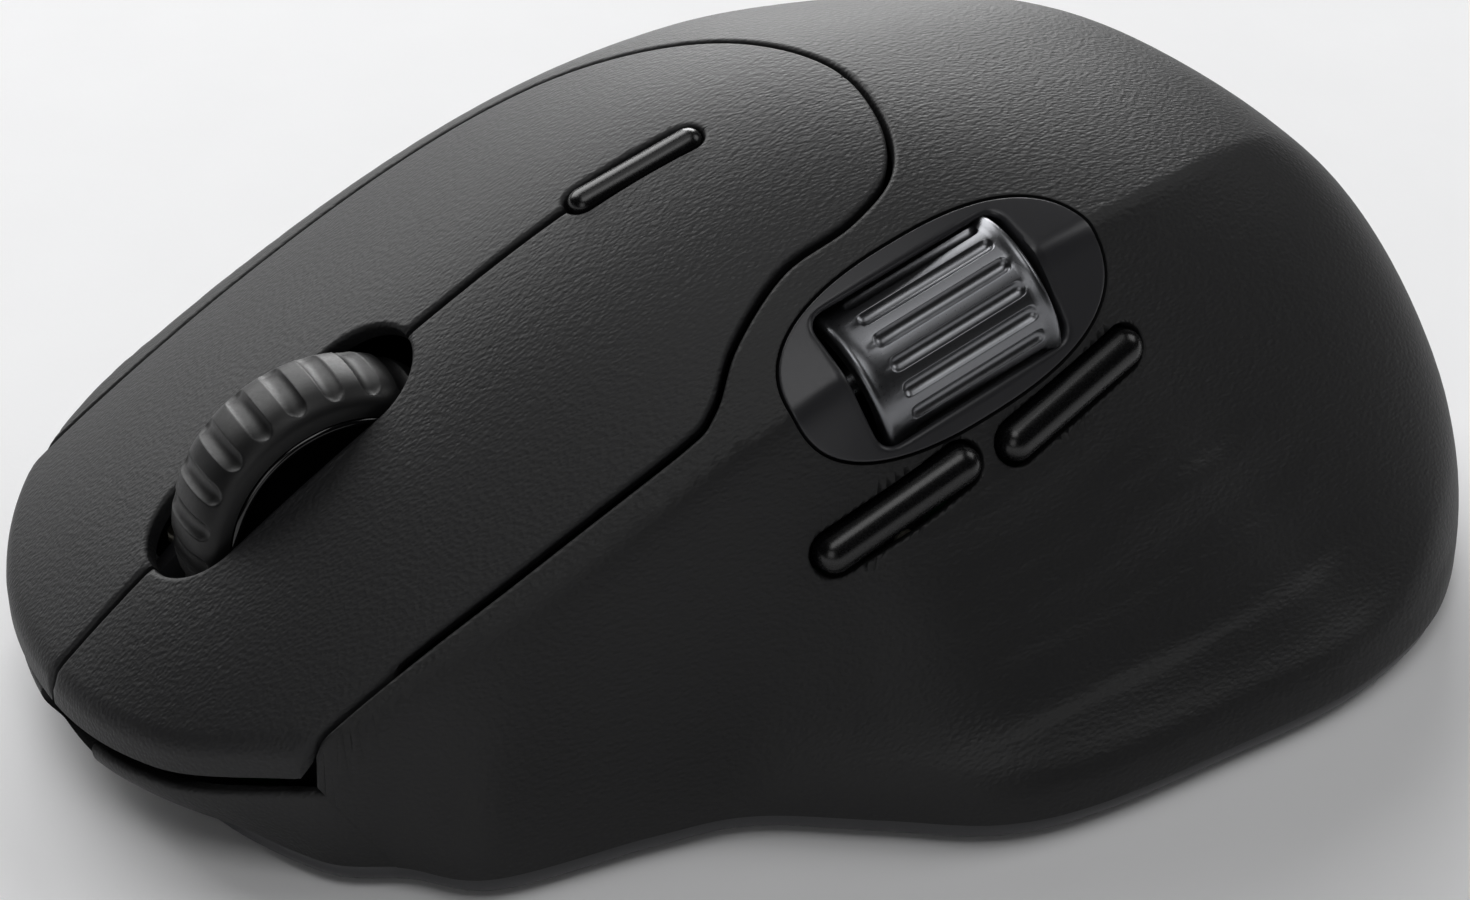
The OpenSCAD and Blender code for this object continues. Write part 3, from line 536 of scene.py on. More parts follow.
# Slippery black plastic of the glide feet, with fine scuffs along the travel
glide_plastic = finish("scuffed_glide_ptfe", "#0f0f10", "#19191b", (0.24, 0.40), 0.5, 0.006,
                       stretch=(0.15, 1, 1), IOR=1.38)

FINISH_OF = {"shell_plastic": grained_shell, "key_plastic": grained_key, "base_plastic": satin_base,
             "bezel_plastic": satin_bezel, "button_plastic": satin_button, "tyre_rubber": tyre_rubber,
             "hub_plastic": gloss_hub, "wheel_metal": blasted_metal, "pin_steel": ground_steel,
             "frame_plastic": frame_moulding, "board": solder_mask, "component": epoxy_black,
             "encoder": encoder_blue, "plunger": natural_nylon, "lens": acrylic_lens,
             "cell": pouch_foil, "lead": lead_silicone, "socket": cream_nylon, "foot": glide_plastic}
slot_of = {part["node"]: part["material_slot"] for part in frame["record"]["subparts"]}
for name, shown in frame["nodes"].items():
    shown.data.materials.clear()
    shown.data.materials.append(FINISH_OF[slot_of[name]])

# ---- upper shell
# Slanted seam between the side of the shell and the front cover, as Z by Y
SEAM_TOP, SEAM_LOW = (-47.2, 12.0), (-41.4, 2.6)
SEAM_GAP = 0.3
# The corner that is cut lies beyond this X, and up to this far behind the seam's lower end
CORNER_X, CORNER_REACH = 8, 4


def seam_height(y):
    return SEAM_TOP[1] + (y - SEAM_TOP[0]) * (SEAM_LOW[1] - SEAM_TOP[1]) / (SEAM_LOW[0] - SEAM_TOP[0])


def trim_front(mesh):
    """Cuts the near front corner of the shell off along the slanted seam."""
    work = bmesh.new()
    work.from_mesh(mesh)
    at = to_frame([0, SEAM_LOW[0], SEAM_LOW[1]])
    along = unit([0, SEAM_LOW[0] - SEAM_TOP[0], SEAM_LOW[1] - SEAM_TOP[1]])
    out = np.array([0, along[2], -along[1]])
    corner = [f for f in work.faces if f.calc_center_median().x > CORNER_X * MM
              and f.calc_center_median().y < (SEAM_LOW[0] + CORNER_REACH - MIDDLE_Y) * MM]
    region = corner + list({e for f in corner for e in f.edges}) + list({v for f in corner for v in f.verts})
    bmesh.ops.bisect_plane(work, geom=region, dist=1e-7, plane_co=at, plane_no=out, clear_outer=True)
    rim = [e for e in work.edges if e.is_boundary]
    bmesh.ops.holes_fill(work, edges=rim, sides=0)
    bmesh.ops.triangulate(work, faces=[f for f in work.faces if len(f.verts) > 4])
    work.to_mesh(mesh)
    work.free()
    mesh.set_sharp_from_angle(angle=np.radians(SHARP_ANGLE))


# How close to the smooth top a point lies, and how closely its face must agree with the top
ON_TOP, AGREEMENT = 0.003, 0.6


def true_normals(piece):
    """Takes the shading of the smooth top from its shape, so thin triangles don't show."""
    mesh = piece.data
    at = np.empty(len(mesh.vertices) * 3)
    mesh.vertices.foreach_get("co", at)
    at = at.reshape(-1, 3) / MM + [0, MIDDLE_Y, 0]
    x, y = at[:, 0], at[:, 1]
    n = normals(x, y)
    n[np.abs(at[:, 2] - top(x, y)) * n[:, 2] > ON_TOP] = 0
    facing = np.empty(len(mesh.polygons) * 3)
    mesh.polygons.foreach_get("normal", facing)
    counts = np.empty(len(mesh.polygons), int)
    mesh.polygons.foreach_get("loop_total", counts)
    corner = np.empty(len(mesh.loops), int)
    mesh.loops.foreach_get("vertex_index", corner)
    wanted = n[corner]
    agrees = np.sum(np.repeat(facing.reshape(-1, 3), counts, axis=0) * wanted, axis=1) > AGREEMENT
    wanted[~agrees] = 0
    mesh.normals_split_custom_set(wanted.tolist())


GRID = 1.15
# Band inside the rim that has rings of points and no grid, and the angle from which the crease has its own
RIM_BAND = 5.8
RIDGE_FROM = -72
key_line = spline(KEY_EDGE)
key_out = key_line + beside(key_line) * KEY_GAP / 2
key_in = key_line - beside(key_line) * KEY_GAP / 2


def rim_room(p):
    return rim_r(angle_of(p[:, 0], p[:, 1])) - np.hypot(p[:, 0], p[:, 1])


def within_rim(line):
    """The stretch of a line that is inside the outline, cut exactly where it crosses."""
    room = rim_room(line)
    inside = np.flatnonzero(room > 0)
    i, j = inside[0], inside[-1]
    cuts = []
    for a, b in ((i - 1, i), (j + 1, j)):
        t = room[a] / (room[a] - room[b])
        cuts.append(line[a] + (line[b] - line[a]) * t)
    return np.vstack([cuts[0], line[i:j + 1], cuts[1]])


def polar(r, a):
    return np.column_stack([r * np.cos(np.radians(a)), r * np.sin(np.radians(a))])


shell_inner = resample(within_rim(key_out), 0.55)
far_angle = angle_of(*shell_inner[0])
near_angle = angle_of(*shell_inner[-1])
rim_angles = np.concatenate([np.linspace(near_angle, 180, 280),
                             np.linspace(-180, far_angle, 65)[1:]])


def ring_at(inset):
    return polar(rim_r(rim_angles) - inset, rim_angles)


shell_outline = np.vstack([shell_inner, ring_at(0)[1:-1]])
SLOT_LENGTH, SLOT_WIDTH = 16.8, 4.2
slots = [(FRONT_SIDE, SLOT_LENGTH, SLOT_WIDTH), (REAR_SIDE, SLOT_LENGTH, SLOT_WIDTH)]
GROW_STEPS = (0.0, 0.03, 0.08, 0.15, 0.24, 0.42)


def plan_loop(place, xy):
    return on_surface(place, xy)[:, :2]


BEZEL_GAP = 0.12
oval_loops = [plan_loop(THUMB, oval(BEZEL_GAP + g)) for g in GROW_STEPS]
slot_loops = [[plan_loop(place, pill(length + 2 * g, width + 2 * g)) for g in GROW_STEPS]
              for place, length, width in slots]
rim_steps = [0, 0.02, 0.07, 0.16, 0.3, 0.5, 0.8, 1.15, 1.6, 2.1, 2.7, 3.5, 4.5, 5.6]
points = [ring_at(d) for d in rim_steps[1:]]
thumb_a = rim_angles[(rim_angles > near_angle + 0.1) & (rim_angles < SHARE_OUT[1])]
ridge = read(crease_by_angle, thumb_a)
for f in np.concatenate([[-0.08, -0.04, -0.02, 0.0, 0.02, 0.04, 0.08], np.linspace(0.12, 0.97, 22)]):
    points.append(polar(ridge + (rim_r(thumb_a) - ridge) * f, thumb_a))
hexes = hex_points((-43, -62), (43, 68), GRID)
hexes = hexes[rim_room(hexes) > RIM_BAND]
hex_a = angle_of(hexes[:, 0], hexes[:, 1])
beyond = ((hex_a > RIDGE_FROM) & (hex_a < SHARE_OUT[1])
          & (np.hypot(*hexes.T) > read(crease_by_angle, hex_a) - 1.2))
points.append(hexes[~beyond])
points = np.vstack(points)
holes = [oval_loops[0]] + [loops[0] for loops in slot_loops]
for loop in [oval_loops[-1]] + [loops[-1] for loops in slot_loops]:
    points = points[~in_polygon(points, loop) & (distance_to(points, loop, True) > 0.25)]
points = points[distance_to(points, shell_inner) > EDGE_R * 1.3]
hole_loops = [oval_loops] + slot_loops
rounds = []
for own in hole_loops:
    others = [loops[-2] for loops in hole_loops if loops is not own]
    for loop in own[1:]:
        rounds.append(loop[~np.any([in_polygon(loop, other) for other in others], axis=0)])
points = np.vstack([points, offset_rings(shell_inner, sides=(1,))] + rounds)
points = points[in_polygon(points, shell_outline)]
xy, faces = triangulate([shell_outline] + holes, points,
                        lambda c: in_polygon(c, shell_outline)
                        & ~np.any([in_polygon(c, h) for h in holes], axis=0))


def skin(xy, drops):
    """Points of the top over a plan, its normals, and the same points with the edges rounded."""
    base = np.column_stack([xy, top(xy[:, 0], xy[:, 1])])
    n = normals(xy[:, 0], xy[:, 1])
    fall = np.zeros(len(xy))
    for distance, r in drops(base):
        fall = np.maximum(fall, fillet_drop(np.maximum(distance, 0), r))
    return base, n, base - n * fall[:, None]


def shell_drops(base):
    yield distance_to(base[:, :2], shell_inner), EDGE_R * (0.4 + 0.6 * smooth_step(-45, -36, base[:, 1]))
    yield oval_distance(into(THUMB, base)[:, :2], BEZEL_GAP) + 0.05, 0.16
    for place, length, width in slots:
        local = into(place, base)
        near = np.abs(local[:, 2]) < 4
        yield np.where(near, pill_distance(local[:, :2], length, width), 9), 0.25


base, n, outer = skin(xy, shell_drops)
inner = base - n * WALL
inner[:, 2] = np.maximum(inner[:, 2], SEAM_Z)
outer[:, 2] = np.maximum(outer[:, 2], SEAM_Z)
verts, solid = thick_skin(outer, inner, faces)
shell_skin = add_piece("shell_skin", verts, solid, grained_shell, "root", ["upper_shell"])
trim_front(shell_skin.data)
true_normals(shell_skin)

# ---- keys
SLOT_Y = (-51.0, -27.2)
SLOT_W = 10.2
FRONT_R = 1.1
FRONT_DROP = 2.8
MODE_W = 3.2
MODE_Y = (-12.2, 0.8)
plate_edge = resample(within_rim(key_in), 0.55)


def slot_side(y_range, width, side):
    """Half of a pill-shaped slot, from its rear tip to its front one, from split line to split line."""
    r = width / 2
    first = np.arcsin(min(1.0, KEY_GAP / 2 / r))
    t = np.linspace(first, np.pi / 2, 14)
    rear = np.column_stack([r * np.sin(t), y_range[1] - r + r * np.cos(t)])
    front = np.column_stack([r * np.sin(t[::-1]), y_range[0] + r - r * np.cos(t[::-1])])
    mid_y = np.arange(rear[-1, 1] - 0.8, front[0, 1] + 0.4, -0.8)
    mid = np.column_stack([np.full(len(mid_y), r), mid_y])
    half = np.vstack([rear, mid, front])
    return np.column_stack([SPLIT_X + side * half[:, 0], half[:, 1]])


def line_to(a, b, step=0.6):
    count = max(1, int(round(np.linalg.norm(np.subtract(b, a)) / step)))
    t = np.linspace(0, 1, count + 1)[:, None]
    return np.asarray(a) * (1 - t) + np.asarray(b) * t


def front_y(x):
    """Y at which a line of constant X leaves the outline at the front."""
    low, high = -70.0, -40.0
    for _ in range(40):
        mid = (low + high) / 2
        if rim_r(angle_of(x, mid)) > np.hypot(x, mid):
            high = mid
        else:
            low = mid
    return low


KEY_WALL = 1.4
# The front edge: its stretch of angles, its points, and the room over which it turns into the top
FRONT_ANGLES = (-135, -60)
FRONT_COUNT = 42
FRONT_BLEND = (4, 9)
FRONT_FLAT = 5
LIP_REACH = 1.6
# Two places along Y and a height, handed with each key to add_piece
BEND_REAR, BEND_FRONT, BEND_Z = 9.0, -6.0, 46
FRONT_STEPS = (0.012, 0.05, 0.12, 0.23, 0.38, 0.56, 0.78, 1.02, 1.2, 1.6, 2.1)


def build_key(side, body, name, node):
    sx = SPLIT_X + side * KEY_GAP / 2
    start = np.array([sx, front_y(sx)])
    end = plate_edge[-1] if side > 0 else plate_edge[0]
    rim_a = np.linspace(angle_of(*start), angle_of(*end), FRONT_COUNT)
    edge = plate_edge[::-1] if side > 0 else plate_edge
    past = np.flatnonzero((edge[:, 0] - SPLIT_X) * side < 0)[0]
    a, b = edge[past - 1], edge[past]
    rear = a + (b - a) * (SPLIT_X - a[0]) / (b[0] - a[0])
    edge = np.vstack([edge[:past], rear])
    mode = slot_side(MODE_Y, MODE_W, side)
    mode[0] = [SPLIT_X, MODE_Y[1]]
    wheel = slot_side(SLOT_Y, SLOT_W, side)
    join = line_to(rear, mode[0], 0.7)
    split_rear = line_to(mode[-1], wheel[0])
    split_front = line_to(wheel[-1], start)
    seams = [edge, mode, split_rear, wheel, split_front]
    outline = np.vstack([polar(rim_r(rim_a), rim_a)[:-1], edge[:-1], join[:-1], mode[:-1], split_rear[:-1],
                         wheel[:-1], split_front[:-1]])
    grid = hex_points((-43, -62), (43, 20), GRID)
    grid = grid[(rim_room(grid) > 2.6) & (np.abs(grid[:, 0] - SPLIT_X) > 0.5)]
    past_a = np.append(rim_a, rim_a[-1] + (rim_a[-1] - rim_a[0]) / (FRONT_COUNT - 1) * np.arange(1, 5))
    points = np.vstack([grid] + [polar(rim_r(past_a) - d, past_a) for d in FRONT_STEPS])
    for seam in seams:
        points = thin_out(points, seam, EDGE_R * 1.3)
    rings = np.vstack([offset_rings(seam) for seam in seams])
    for seam in seams:
        rings = thin_out(rings, seam, 0.02)
    points = np.vstack([points, rings])
    points = points[in_polygon(points, outline) & (distance_to(points, outline, True) > 0.015)]
    xy, faces = triangulate([outline], points, lambda c: in_polygon(c, outline))
    x, y = xy[:, 0], xy[:, 1]
    room = np.maximum(rim_room(xy), 0)
    ease = smooth_step(*FRONT_BLEND, room)
    front = (angle_of(x, y) > FRONT_ANGLES[0]) & (angle_of(x, y) < FRONT_ANGLES[1])
    z = np.where(front, crown(x, y) * (1 - ease) + top(x, y) * ease, top(x, y))
    front_edge = distance_to(xy, polar(rim_r(rim_a), rim_a))
    fall = fillet_drop(front_edge, FRONT_R) * front
    n = normals(x, y)
    n = np.where((front & (room < FRONT_FLAT))[:, None], [0, 0, 1], n)
    edge_fall = np.zeros(len(xy))
    for seam in seams:
        edge_fall = np.maximum(edge_fall, fillet_drop(distance_to(xy, seam), EDGE_R))
    base = np.column_stack([xy, z - fall])
    outer = base - n * edge_fall[:, None]
    inner = base - n * KEY_WALL
    lip = front & (front_edge < 0.004)
    inner[lip] = base[lip] - [0, 0, FRONT_DROP - FRONT_R]
    near_lip = front & ~lip & (front_edge < LIP_REACH)
    inner[near_lip, 2] = (crown(x, y) - FRONT_DROP)[near_lip] + 0.5 * front_edge[near_lip]
    verts, solid = thick_skin(outer, inner, faces)
    true_normals(add_piece(name, verts, solid, grained_key,
                           ("root", body, [SPLIT_X, BEND_REAR, BEND_Z], [SPLIT_X, BEND_FRONT, BEND_Z]),
                           node))


build_key(1, "left_key", "left_key_skin", ["left_key", "key_plate"])
build_key(-1, "right_key", "right_key_skin", ["right_key"])


# ---- rings swept round the outline
# Angles between which the front tucks in on each side, and how far
TUCK_NEAR, TUCK_FAR, TUCK_IN = (-66, -86), (-140, -112), 5.6


def tuck(a):
    return smooth_step(*TUCK_NEAR, a) * smooth_step(*TUCK_FAR, a) * TUCK_IN


def sweep(angles, section, closed):
    """Closed tube of sections: section(angle) gives rows of X, Y, Z round the tube."""
    rows = [section(a) for a in angles]
    m, k = len(rows), len(rows[0])
    faces = []
    for i in range(m if closed else m - 1):
        j = (i + 1) % m
        for t in range(k):
            u = (t + 1) % k
            faces.append((i * k + t, i * k + u, j * k + u, j * k + t))
    if not closed:
        faces += [tuple(range(k - 1, -1, -1)), tuple((m - 1) * k + t for t in range(k))]
    return np.vstack(rows), faces


BASE_SECTION = [(2.6, 0.62), (2.2, 0.62), (1.5, 0.70), (0.95, 0.95), (0.62, 1.35), (0.5, 1.8),
                (0.5, 2.3), (0.56, 2.44), (0.7, 2.5), (2.5, 2.5), (2.6, 2.4)]


def base_section(a):
    r = rim_r(np.array(a)) - tuck(np.array(a))
    return np.vstack([np.append(polar(r - inset, a)[0], z) for inset, z in BASE_SECTION])


def flip(faces):
    return [tuple(reversed(f)) for f in faces]


round_angles = np.arange(-180, 180, 1.5)
band_verts, band_faces = sweep(round_angles, base_section, True)
floor_outline = np.vstack([polar(rim_r(np.array(a)) - 2.4 - tuck(np.array(a)), a)
                           for a in round_angles])
FLOOR_LOW, FLOOR_TOP = 0.6, 2.2


def circle(x, y, r, count=40):
    t = np.linspace(0, 2 * np.pi, count, endpoint=False)
    return np.column_stack([x + r * np.cos(t), y + r * np.sin(t)])


def rounded_box(x, y, w, h, r):
    corners = [(w / 2 - r, h / 2 - r, 0), (-w / 2 + r, h / 2 - r, 90),
               (-w / 2 + r, -h / 2 + r, 180), (w / 2 - r, -h / 2 + r, 270)]
    out = [[x + cx + r * np.cos(np.radians(s + d)), y + cy + r * np.sin(np.radians(s + d))]
           for cx, cy, s in corners for d in np.linspace(0, 90, 7)]
    return np.array(out)


floor_holes = [rounded_box(-4.5, -4, 12.4, 10.4, 0.6), rounded_box(8, 12, 7.2, 3.2, 0.5),
               circle(-12, 14, 2.2)] + [circle(x, y, 2.7) for x, y in
                                        ((-25, -8), (18, -6), (-27, 32), (24, 36))]
floor_xy, floor_faces = triangulate([floor_outline] + floor_holes, np.zeros((0, 2)),
                                    lambda c: in_polygon(c, floor_outline)
                                    & ~np.any([in_polygon(c, h) for h in floor_holes], axis=0))
top_skin = np.column_stack([floor_xy, np.full(len(floor_xy), FLOOR_TOP)])
low_skin = np.column_stack([floor_xy, np.full(len(floor_xy), FLOOR_LOW)])
floor_verts, floor_solid = thick_skin(top_skin, low_skin, floor_faces)
add_piece("base_band", band_verts, band_faces, satin_base, "root")
add_piece("base_floor", floor_verts, floor_solid, satin_base, "root", ["base_shell"])

BUMPER_ROWS = 14
# The cover stands on the base band. Its foot and head lie inside the rim by these insets.
COVER_LOW, COVER_LEAST, COVER_WALL, COVER_R = 2.5, 2.58, 1.2, 0.6
FOOT_INSET, HEAD_INSET = 0.5, 0.45
# Drop from the top to the end of the keys' turned-down edge, and the space under it
KEY_LIP, LIP_SPACE = 3.2, 1.4
# The slanted seam bounds the cover from this angle on
SEAM_FROM = -100


def bumper_section(a):
    rim, tucked = float(rim_r(np.array(a))), float(tuck(np.array(a)))
    foot, head = rim - FOOT_INSET - tucked, rim - HEAD_INSET
    edge = polar(rim, a)[0]
    z1 = float(crown(*edge)) - KEY_LIP - LIP_SPACE
    if a > SEAM_FROM:
        z1 = min(z1, float(seam_height(edge[1])) - SEAM_GAP)
    z1 = max(z1, COVER_LEAST)
    r_edge = min(COVER_R, (z1 - COVER_LOW) / 2)
    t = np.linspace(0, 1, BUMPER_ROWS)
    r = foot + (head - foot) * np.sin(np.pi / 2 * t)
    z = COVER_LOW + (z1 - r_edge - COVER_LOW) * t
    turn_a = np.radians([25, 50, 70, 90])
    crest_r = head - r_edge * (1 - np.cos(turn_a))
    crest_z = z1 - r_edge * (1 - np.sin(turn_a))
    inside = np.column_stack([polar(np.append(r - COVER_WALL, head - COVER_WALL), a), np.append(z, z1)])
    return np.vstack([np.column_stack([polar(r, a), z]), np.column_stack([polar(crest_r, a), crest_z]),
                      inside[::-1]])


# Charging port: opening width and height, height of its middle, and the reach of the cut in Y
PORT_W, PORT_H, PORT_Z, PORT_CUT = 9.8, 4.0, 7.2, (-62.5, -48)


def cut_port(piece):
    """Cuts the pill-shaped opening for the charging port through the front cover."""
    loop = pill(PORT_W, PORT_H)
    k = len(loop)
    ends = [np.column_stack([SPLIT_X + loop[:, 1], np.full(k, y), PORT_Z + loop[:, 0]]) for y in PORT_CUT]
    sides = [(i, (i + 1) % k, k + (i + 1) % k, k + i) for i in range(k)]
    mesh = bpy.data.meshes.new("port_cutter")
    mesh.from_pydata(to_frame(np.vstack(ends)).tolist(), [],
                     sides + [tuple(range(k - 1, -1, -1)), tuple(range(k, 2 * k))])
    work = bmesh.new()
    for shape in (mesh, piece.data):
        work.clear()
        work.from_mesh(shape)
        bmesh.ops.recalc_face_normals(work, faces=work.faces)
        work.to_mesh(shape)
    work.free()
    cutter = bpy.data.objects.new("port_cutter", mesh)
    bpy.context.scene.collection.objects.link(cutter)
    step = piece.modifiers.new("port", "BOOLEAN")
    step.operation, step.solver, step.object = "DIFFERENCE", "EXACT", cutter
    bpy.context.view_layer.update()
    made = bpy.data.meshes.new_from_object(piece.evaluated_get(bpy.context.evaluated_depsgraph_get()))
    piece.modifiers.remove(step)
    piece.data = made
    made.set_sharp_from_angle(angle=np.radians(SHARP_ANGLE))
    bpy.data.objects.remove(cutter)


bumper_angles = np.concatenate([np.linspace(FRONT_SECTOR[0] + 0.6, -72, 56), np.linspace(-71.5, -63.4, 22)])
bumper_verts, bumper_faces = sweep(bumper_angles, bumper_section, False)
front_cover = add_piece("front_cover", bumper_verts, bumper_faces, grained_shell, "root",
                        ["front_bumper"])
cut_port(front_cover)

# ---- thumb wheel and its bezel
# Opening in the bezel: middle across and along, width, length and corner radius
WINDOW = (0, -0.3, 12.7, 19.2, 1.5)


def window_loop(count=120):
    box = resample(rounded_box(*WINDOW), 0.25, True)
    a = np.arctan2(box[:, 1] / OVAL_HALF[1], box[:, 0] / OVAL_HALF[0])
    order = np.argsort(a)
    turned = oval(0, count)
    want = np.arctan2(turned[:, 1] / OVAL_HALF[1], turned[:, 0] / OVAL_HALF[0])
    return np.column_stack([np.interp(want, a[order], box[order, k], period=2 * np.pi) for k in (0, 1)])


rim_oval, rim_window = oval(-BEZEL_GAP), window_loop()
steps = np.concatenate([[0, 0.03, 0.08, 0.16, 0.28], np.linspace(0.4, 0.9, 7), [0.94, 0.97, 0.99, 1.0]])
rings = []
for s in steps:
    ring = rim_window * (1 - s) + rim_oval * s
    point = on_surface(THUMB, ring)
    n = normals(point[:, 0], point[:, 1])
    d_in = np.linalg.norm(ring - rim_window, axis=1)
    d_out = np.linalg.norm(rim_oval - ring, axis=1)
    fall = np.maximum(fillet_drop(d_in, 0.5), fillet_drop(d_out, 0.15)) + 0.03
    rings.append(point - n * fall[:, None])
count = len(rim_oval)
depth = THUMB[1][:, 2]
inside = [rings[-1] - depth * 1.3] + [rings[k] - depth * (1.3 + 1.2 * (1 - steps[k])) for k in (10, 5)] \
    + [rings[0] - depth * 2.6]
loops = rings + inside
verts = np.vstack(loops)
faces = []
for i in range(len(loops)):
    j = (i + 1) % len(loops)
    for t in range(count):
        u = (t + 1) % count
        faces.append((i * count + t, j * count + t, j * count + u, i * count + u))
add_piece("thumb_bezel_skin", verts, faces, satin_bezel, "root", ["thumb_bezel"])

THUMB_R, THUMB_PROUD = 7.0, 1.6
THUMB_Z = THUMB_PROUD - THUMB_R


def lathe(profile, angles, shape, centre, frame3):
    """Closed turned solid: profile rows of (along, radius), shape(angle, along, radius) the radius."""
    rows = []
    for along, radius in profile:
        r = shape(angles, along, radius)
        rows.append(np.column_stack([r * np.sin(angles), np.full(len(angles), along), r * np.cos(angles)]))
    m, k = len(rows), len(angles)
    faces = [(i * k + t, i * k + (t + 1) % k, (i + 1) * k + (t + 1) % k, (i + 1) * k + t)
             for i in range(m) for t in range(k) if i < m - 1]
    faces += [((m - 1) * k + t, (m - 1) * k + (t + 1) % k, (t + 1) % k, t) for t in range(k)]
    verts = np.vstack(rows)
    return centre + verts @ frame3.T, faces


def flute_angles(count, radius, widths, phase):
    """Angles that follow every flute's edges exactly."""
    pitch = 2 * np.pi / count
    inside = [w / radius for w in widths]
    one = sorted(set([-w for w in inside] + inside + [pitch / 2]))
    return np.concatenate([phase + i * pitch + np.array(one) for i in range(count)])


def flute(angles, along, radius, count, phase, cut_r, cut_up, half_len):
    pitch = 2 * np.pi / count
    off = (angles - phase + pitch / 2) % pitch - pitch / 2
    u = np.hypot(off * radius, max(abs(along) - half_len, 0))
    return np.maximum(np.sqrt(np.maximum(cut_r ** 2 - u ** 2, 0)) - cut_up, 0)


thumb_phase = np.radians(5)
THUMB_FLUTES = 18
THUMB_WIDTHS = (0.0, 0.2, 0.4, 0.56, 0.66, 0.72, 0.76, 0.82, 0.95, 1.1)
thumb_angles = flute_angles(THUMB_FLUTES, THUMB_R, THUMB_WIDTHS, thumb_phase)

# Radius of the barrel between the flared ends, and the least radius that is grooved
BARREL_R, GROOVED_FROM = 6.7, 6.2
THUMB_CUT_R, THUMB_CUT_UP = 0.82, 0.35
FRONT_END, REAR_END = -9.0, 8.3
GROOVE_MID, GROOVE_HALF = 0.3, 5.85


def thumb_radius(angles, along, radius):
    if radius < GROOVED_FROM:
        return np.full(len(angles), radius)
    return radius - flute(angles, along - GROOVE_MID, THUMB_R, THUMB_FLUTES, thumb_phase,
                          THUMB_CUT_R, THUMB_CUT_UP, GROOVE_HALF)


# Flared end of the wheel, as distance from the end and radius
FLARE = [(0, 5.45), (0, 6.5), (0.04, 6.72), (0.15, 6.9), (0.32, 7.0), (0.5, 7.02), (0.75, 6.96),
         (1.0, 6.84)]
groove_rows = [(GROOVE_MID + side * (GROOVE_HALF + d), BARREL_R) for side, steps in
               ((1, (0.76, 0.7, 0.6, 0.45, 0.25, 0.0, -1.5, -3.0, -4.6)),
                (-1, (-4.6, -3.0, -1.5, 0.0, 0.25, 0.45, 0.6, 0.7, 0.76))) for d in steps]
sleeve_rows = [(REAR_END - d, r) for d, r in FLARE] + groove_rows \
    + [(FRONT_END + 1.7, 6.74)] + [(FRONT_END + d, r) for d, r in FLARE[::-1]]
thumb_centre = out_of(THUMB, [[0, 0, THUMB_Z]])[0]
verts, faces = lathe(sleeve_rows, thumb_angles, thumb_radius, thumb_centre, THUMB[1])
add_piece("thumb_wheel_skin", verts, faces, blasted_metal, "thumb_wheel",
          ["thumb_wheel_sleeve"], sharp=50)

# ---- scroll wheel
WHEEL_C = np.array([SPLIT_X, -35, 20.9])
WHEEL_R, WHEEL_HALF, TYRE_IN = 13.3, 4.2, 10.6
# Local frame of the wheel: Y along its axle, so that +Y is the thumb side
WHEEL_FRAME = np.column_stack([[0, 1, 0], [1, 0, 0], [0, 0, 1]]).astype(float)
WHEEL_FLUTES = 24
WHEEL_WIDTHS = (0.0, 0.25, 0.5, 0.7, 0.82, 0.89, 0.95, 1.05, 1.3)
wheel_angles = flute_angles(WHEEL_FLUTES, WHEEL_R, WHEEL_WIDTHS, 0.0)
# Depth of the tread's side wall, the fall and power of its crown, and the size of its grooves
TREAD_DEPTH, CROWN_FALL, CROWN_POWER = 2.2, 2.3, 2.4
TYRE_CUT_R, TYRE_CUT_UP, TYRE_CUT_HALF = 1.25, 0.82, 2.75


def tyre_radius(angles, along, radius):
    if radius < WHEEL_R - TREAD_DEPTH:
        return np.full(len(angles), radius)
    return radius - flute(angles, along, WHEEL_R, WHEEL_FLUTES, 0.0, TYRE_CUT_R, TYRE_CUT_UP,
                          TYRE_CUT_HALF)


# Crowned tread: one rounded curve from the middle of the tread to the side wall
tread = np.concatenate([np.linspace(0.12, 2.2, 8), np.linspace(2.3, 3.5, 14), np.linspace(3.6, 4.15, 7)])
half_rows = [(WHEEL_HALF, TYRE_IN + 0.02), (WHEEL_HALF, WHEEL_R - 2.6)]
half_rows += [(y, WHEEL_R - CROWN_FALL * (1 - (1 - (y / WHEEL_HALF) ** CROWN_POWER) ** (1 / CROWN_POWER)))
              for y in tread[::-1]]
tyre_rows = half_rows + [(-y, r) for y, r in half_rows[::-1]]
verts, faces = lathe(tyre_rows, wheel_angles, tyre_radius, WHEEL_C, WHEEL_FRAME)
add_piece("tyre_skin", verts, flip(faces), tyre_rubber, "scroll_wheel", ["scroll_tyre"],
          sharp=50)


def hub_radius(angles, along, radius):
    return np.full(len(angles), radius)


# Half of the hub's section, from its bore out to its rim: distance from the middle and radius
half_rows = [(3.0, 1.25), (3.0, 3.0), (2.9, 3.2), (2.75, 3.3), (2.6, 3.6), (2.5, 6.0), (2.55, 8.8),
             (2.7, 9.2), (3.2, 9.5), (4.05, 9.75), (4.3, 9.95), (4.36, 10.15), (4.3, 10.35), (4.1, 10.5),
             (3.8, 10.55)]
hub_rows = half_rows + [(-y, r) for y, r in half_rows[::-1]]
hub_angles = np.linspace(0, 2 * np.pi, 144, endpoint=False)
verts, faces = lathe(hub_rows, hub_angles, hub_radius, WHEEL_C, WHEEL_FRAME)
add_piece("hub_skin", verts, flip(faces), gloss_hub, "scroll_wheel", ["scroll_hub"])


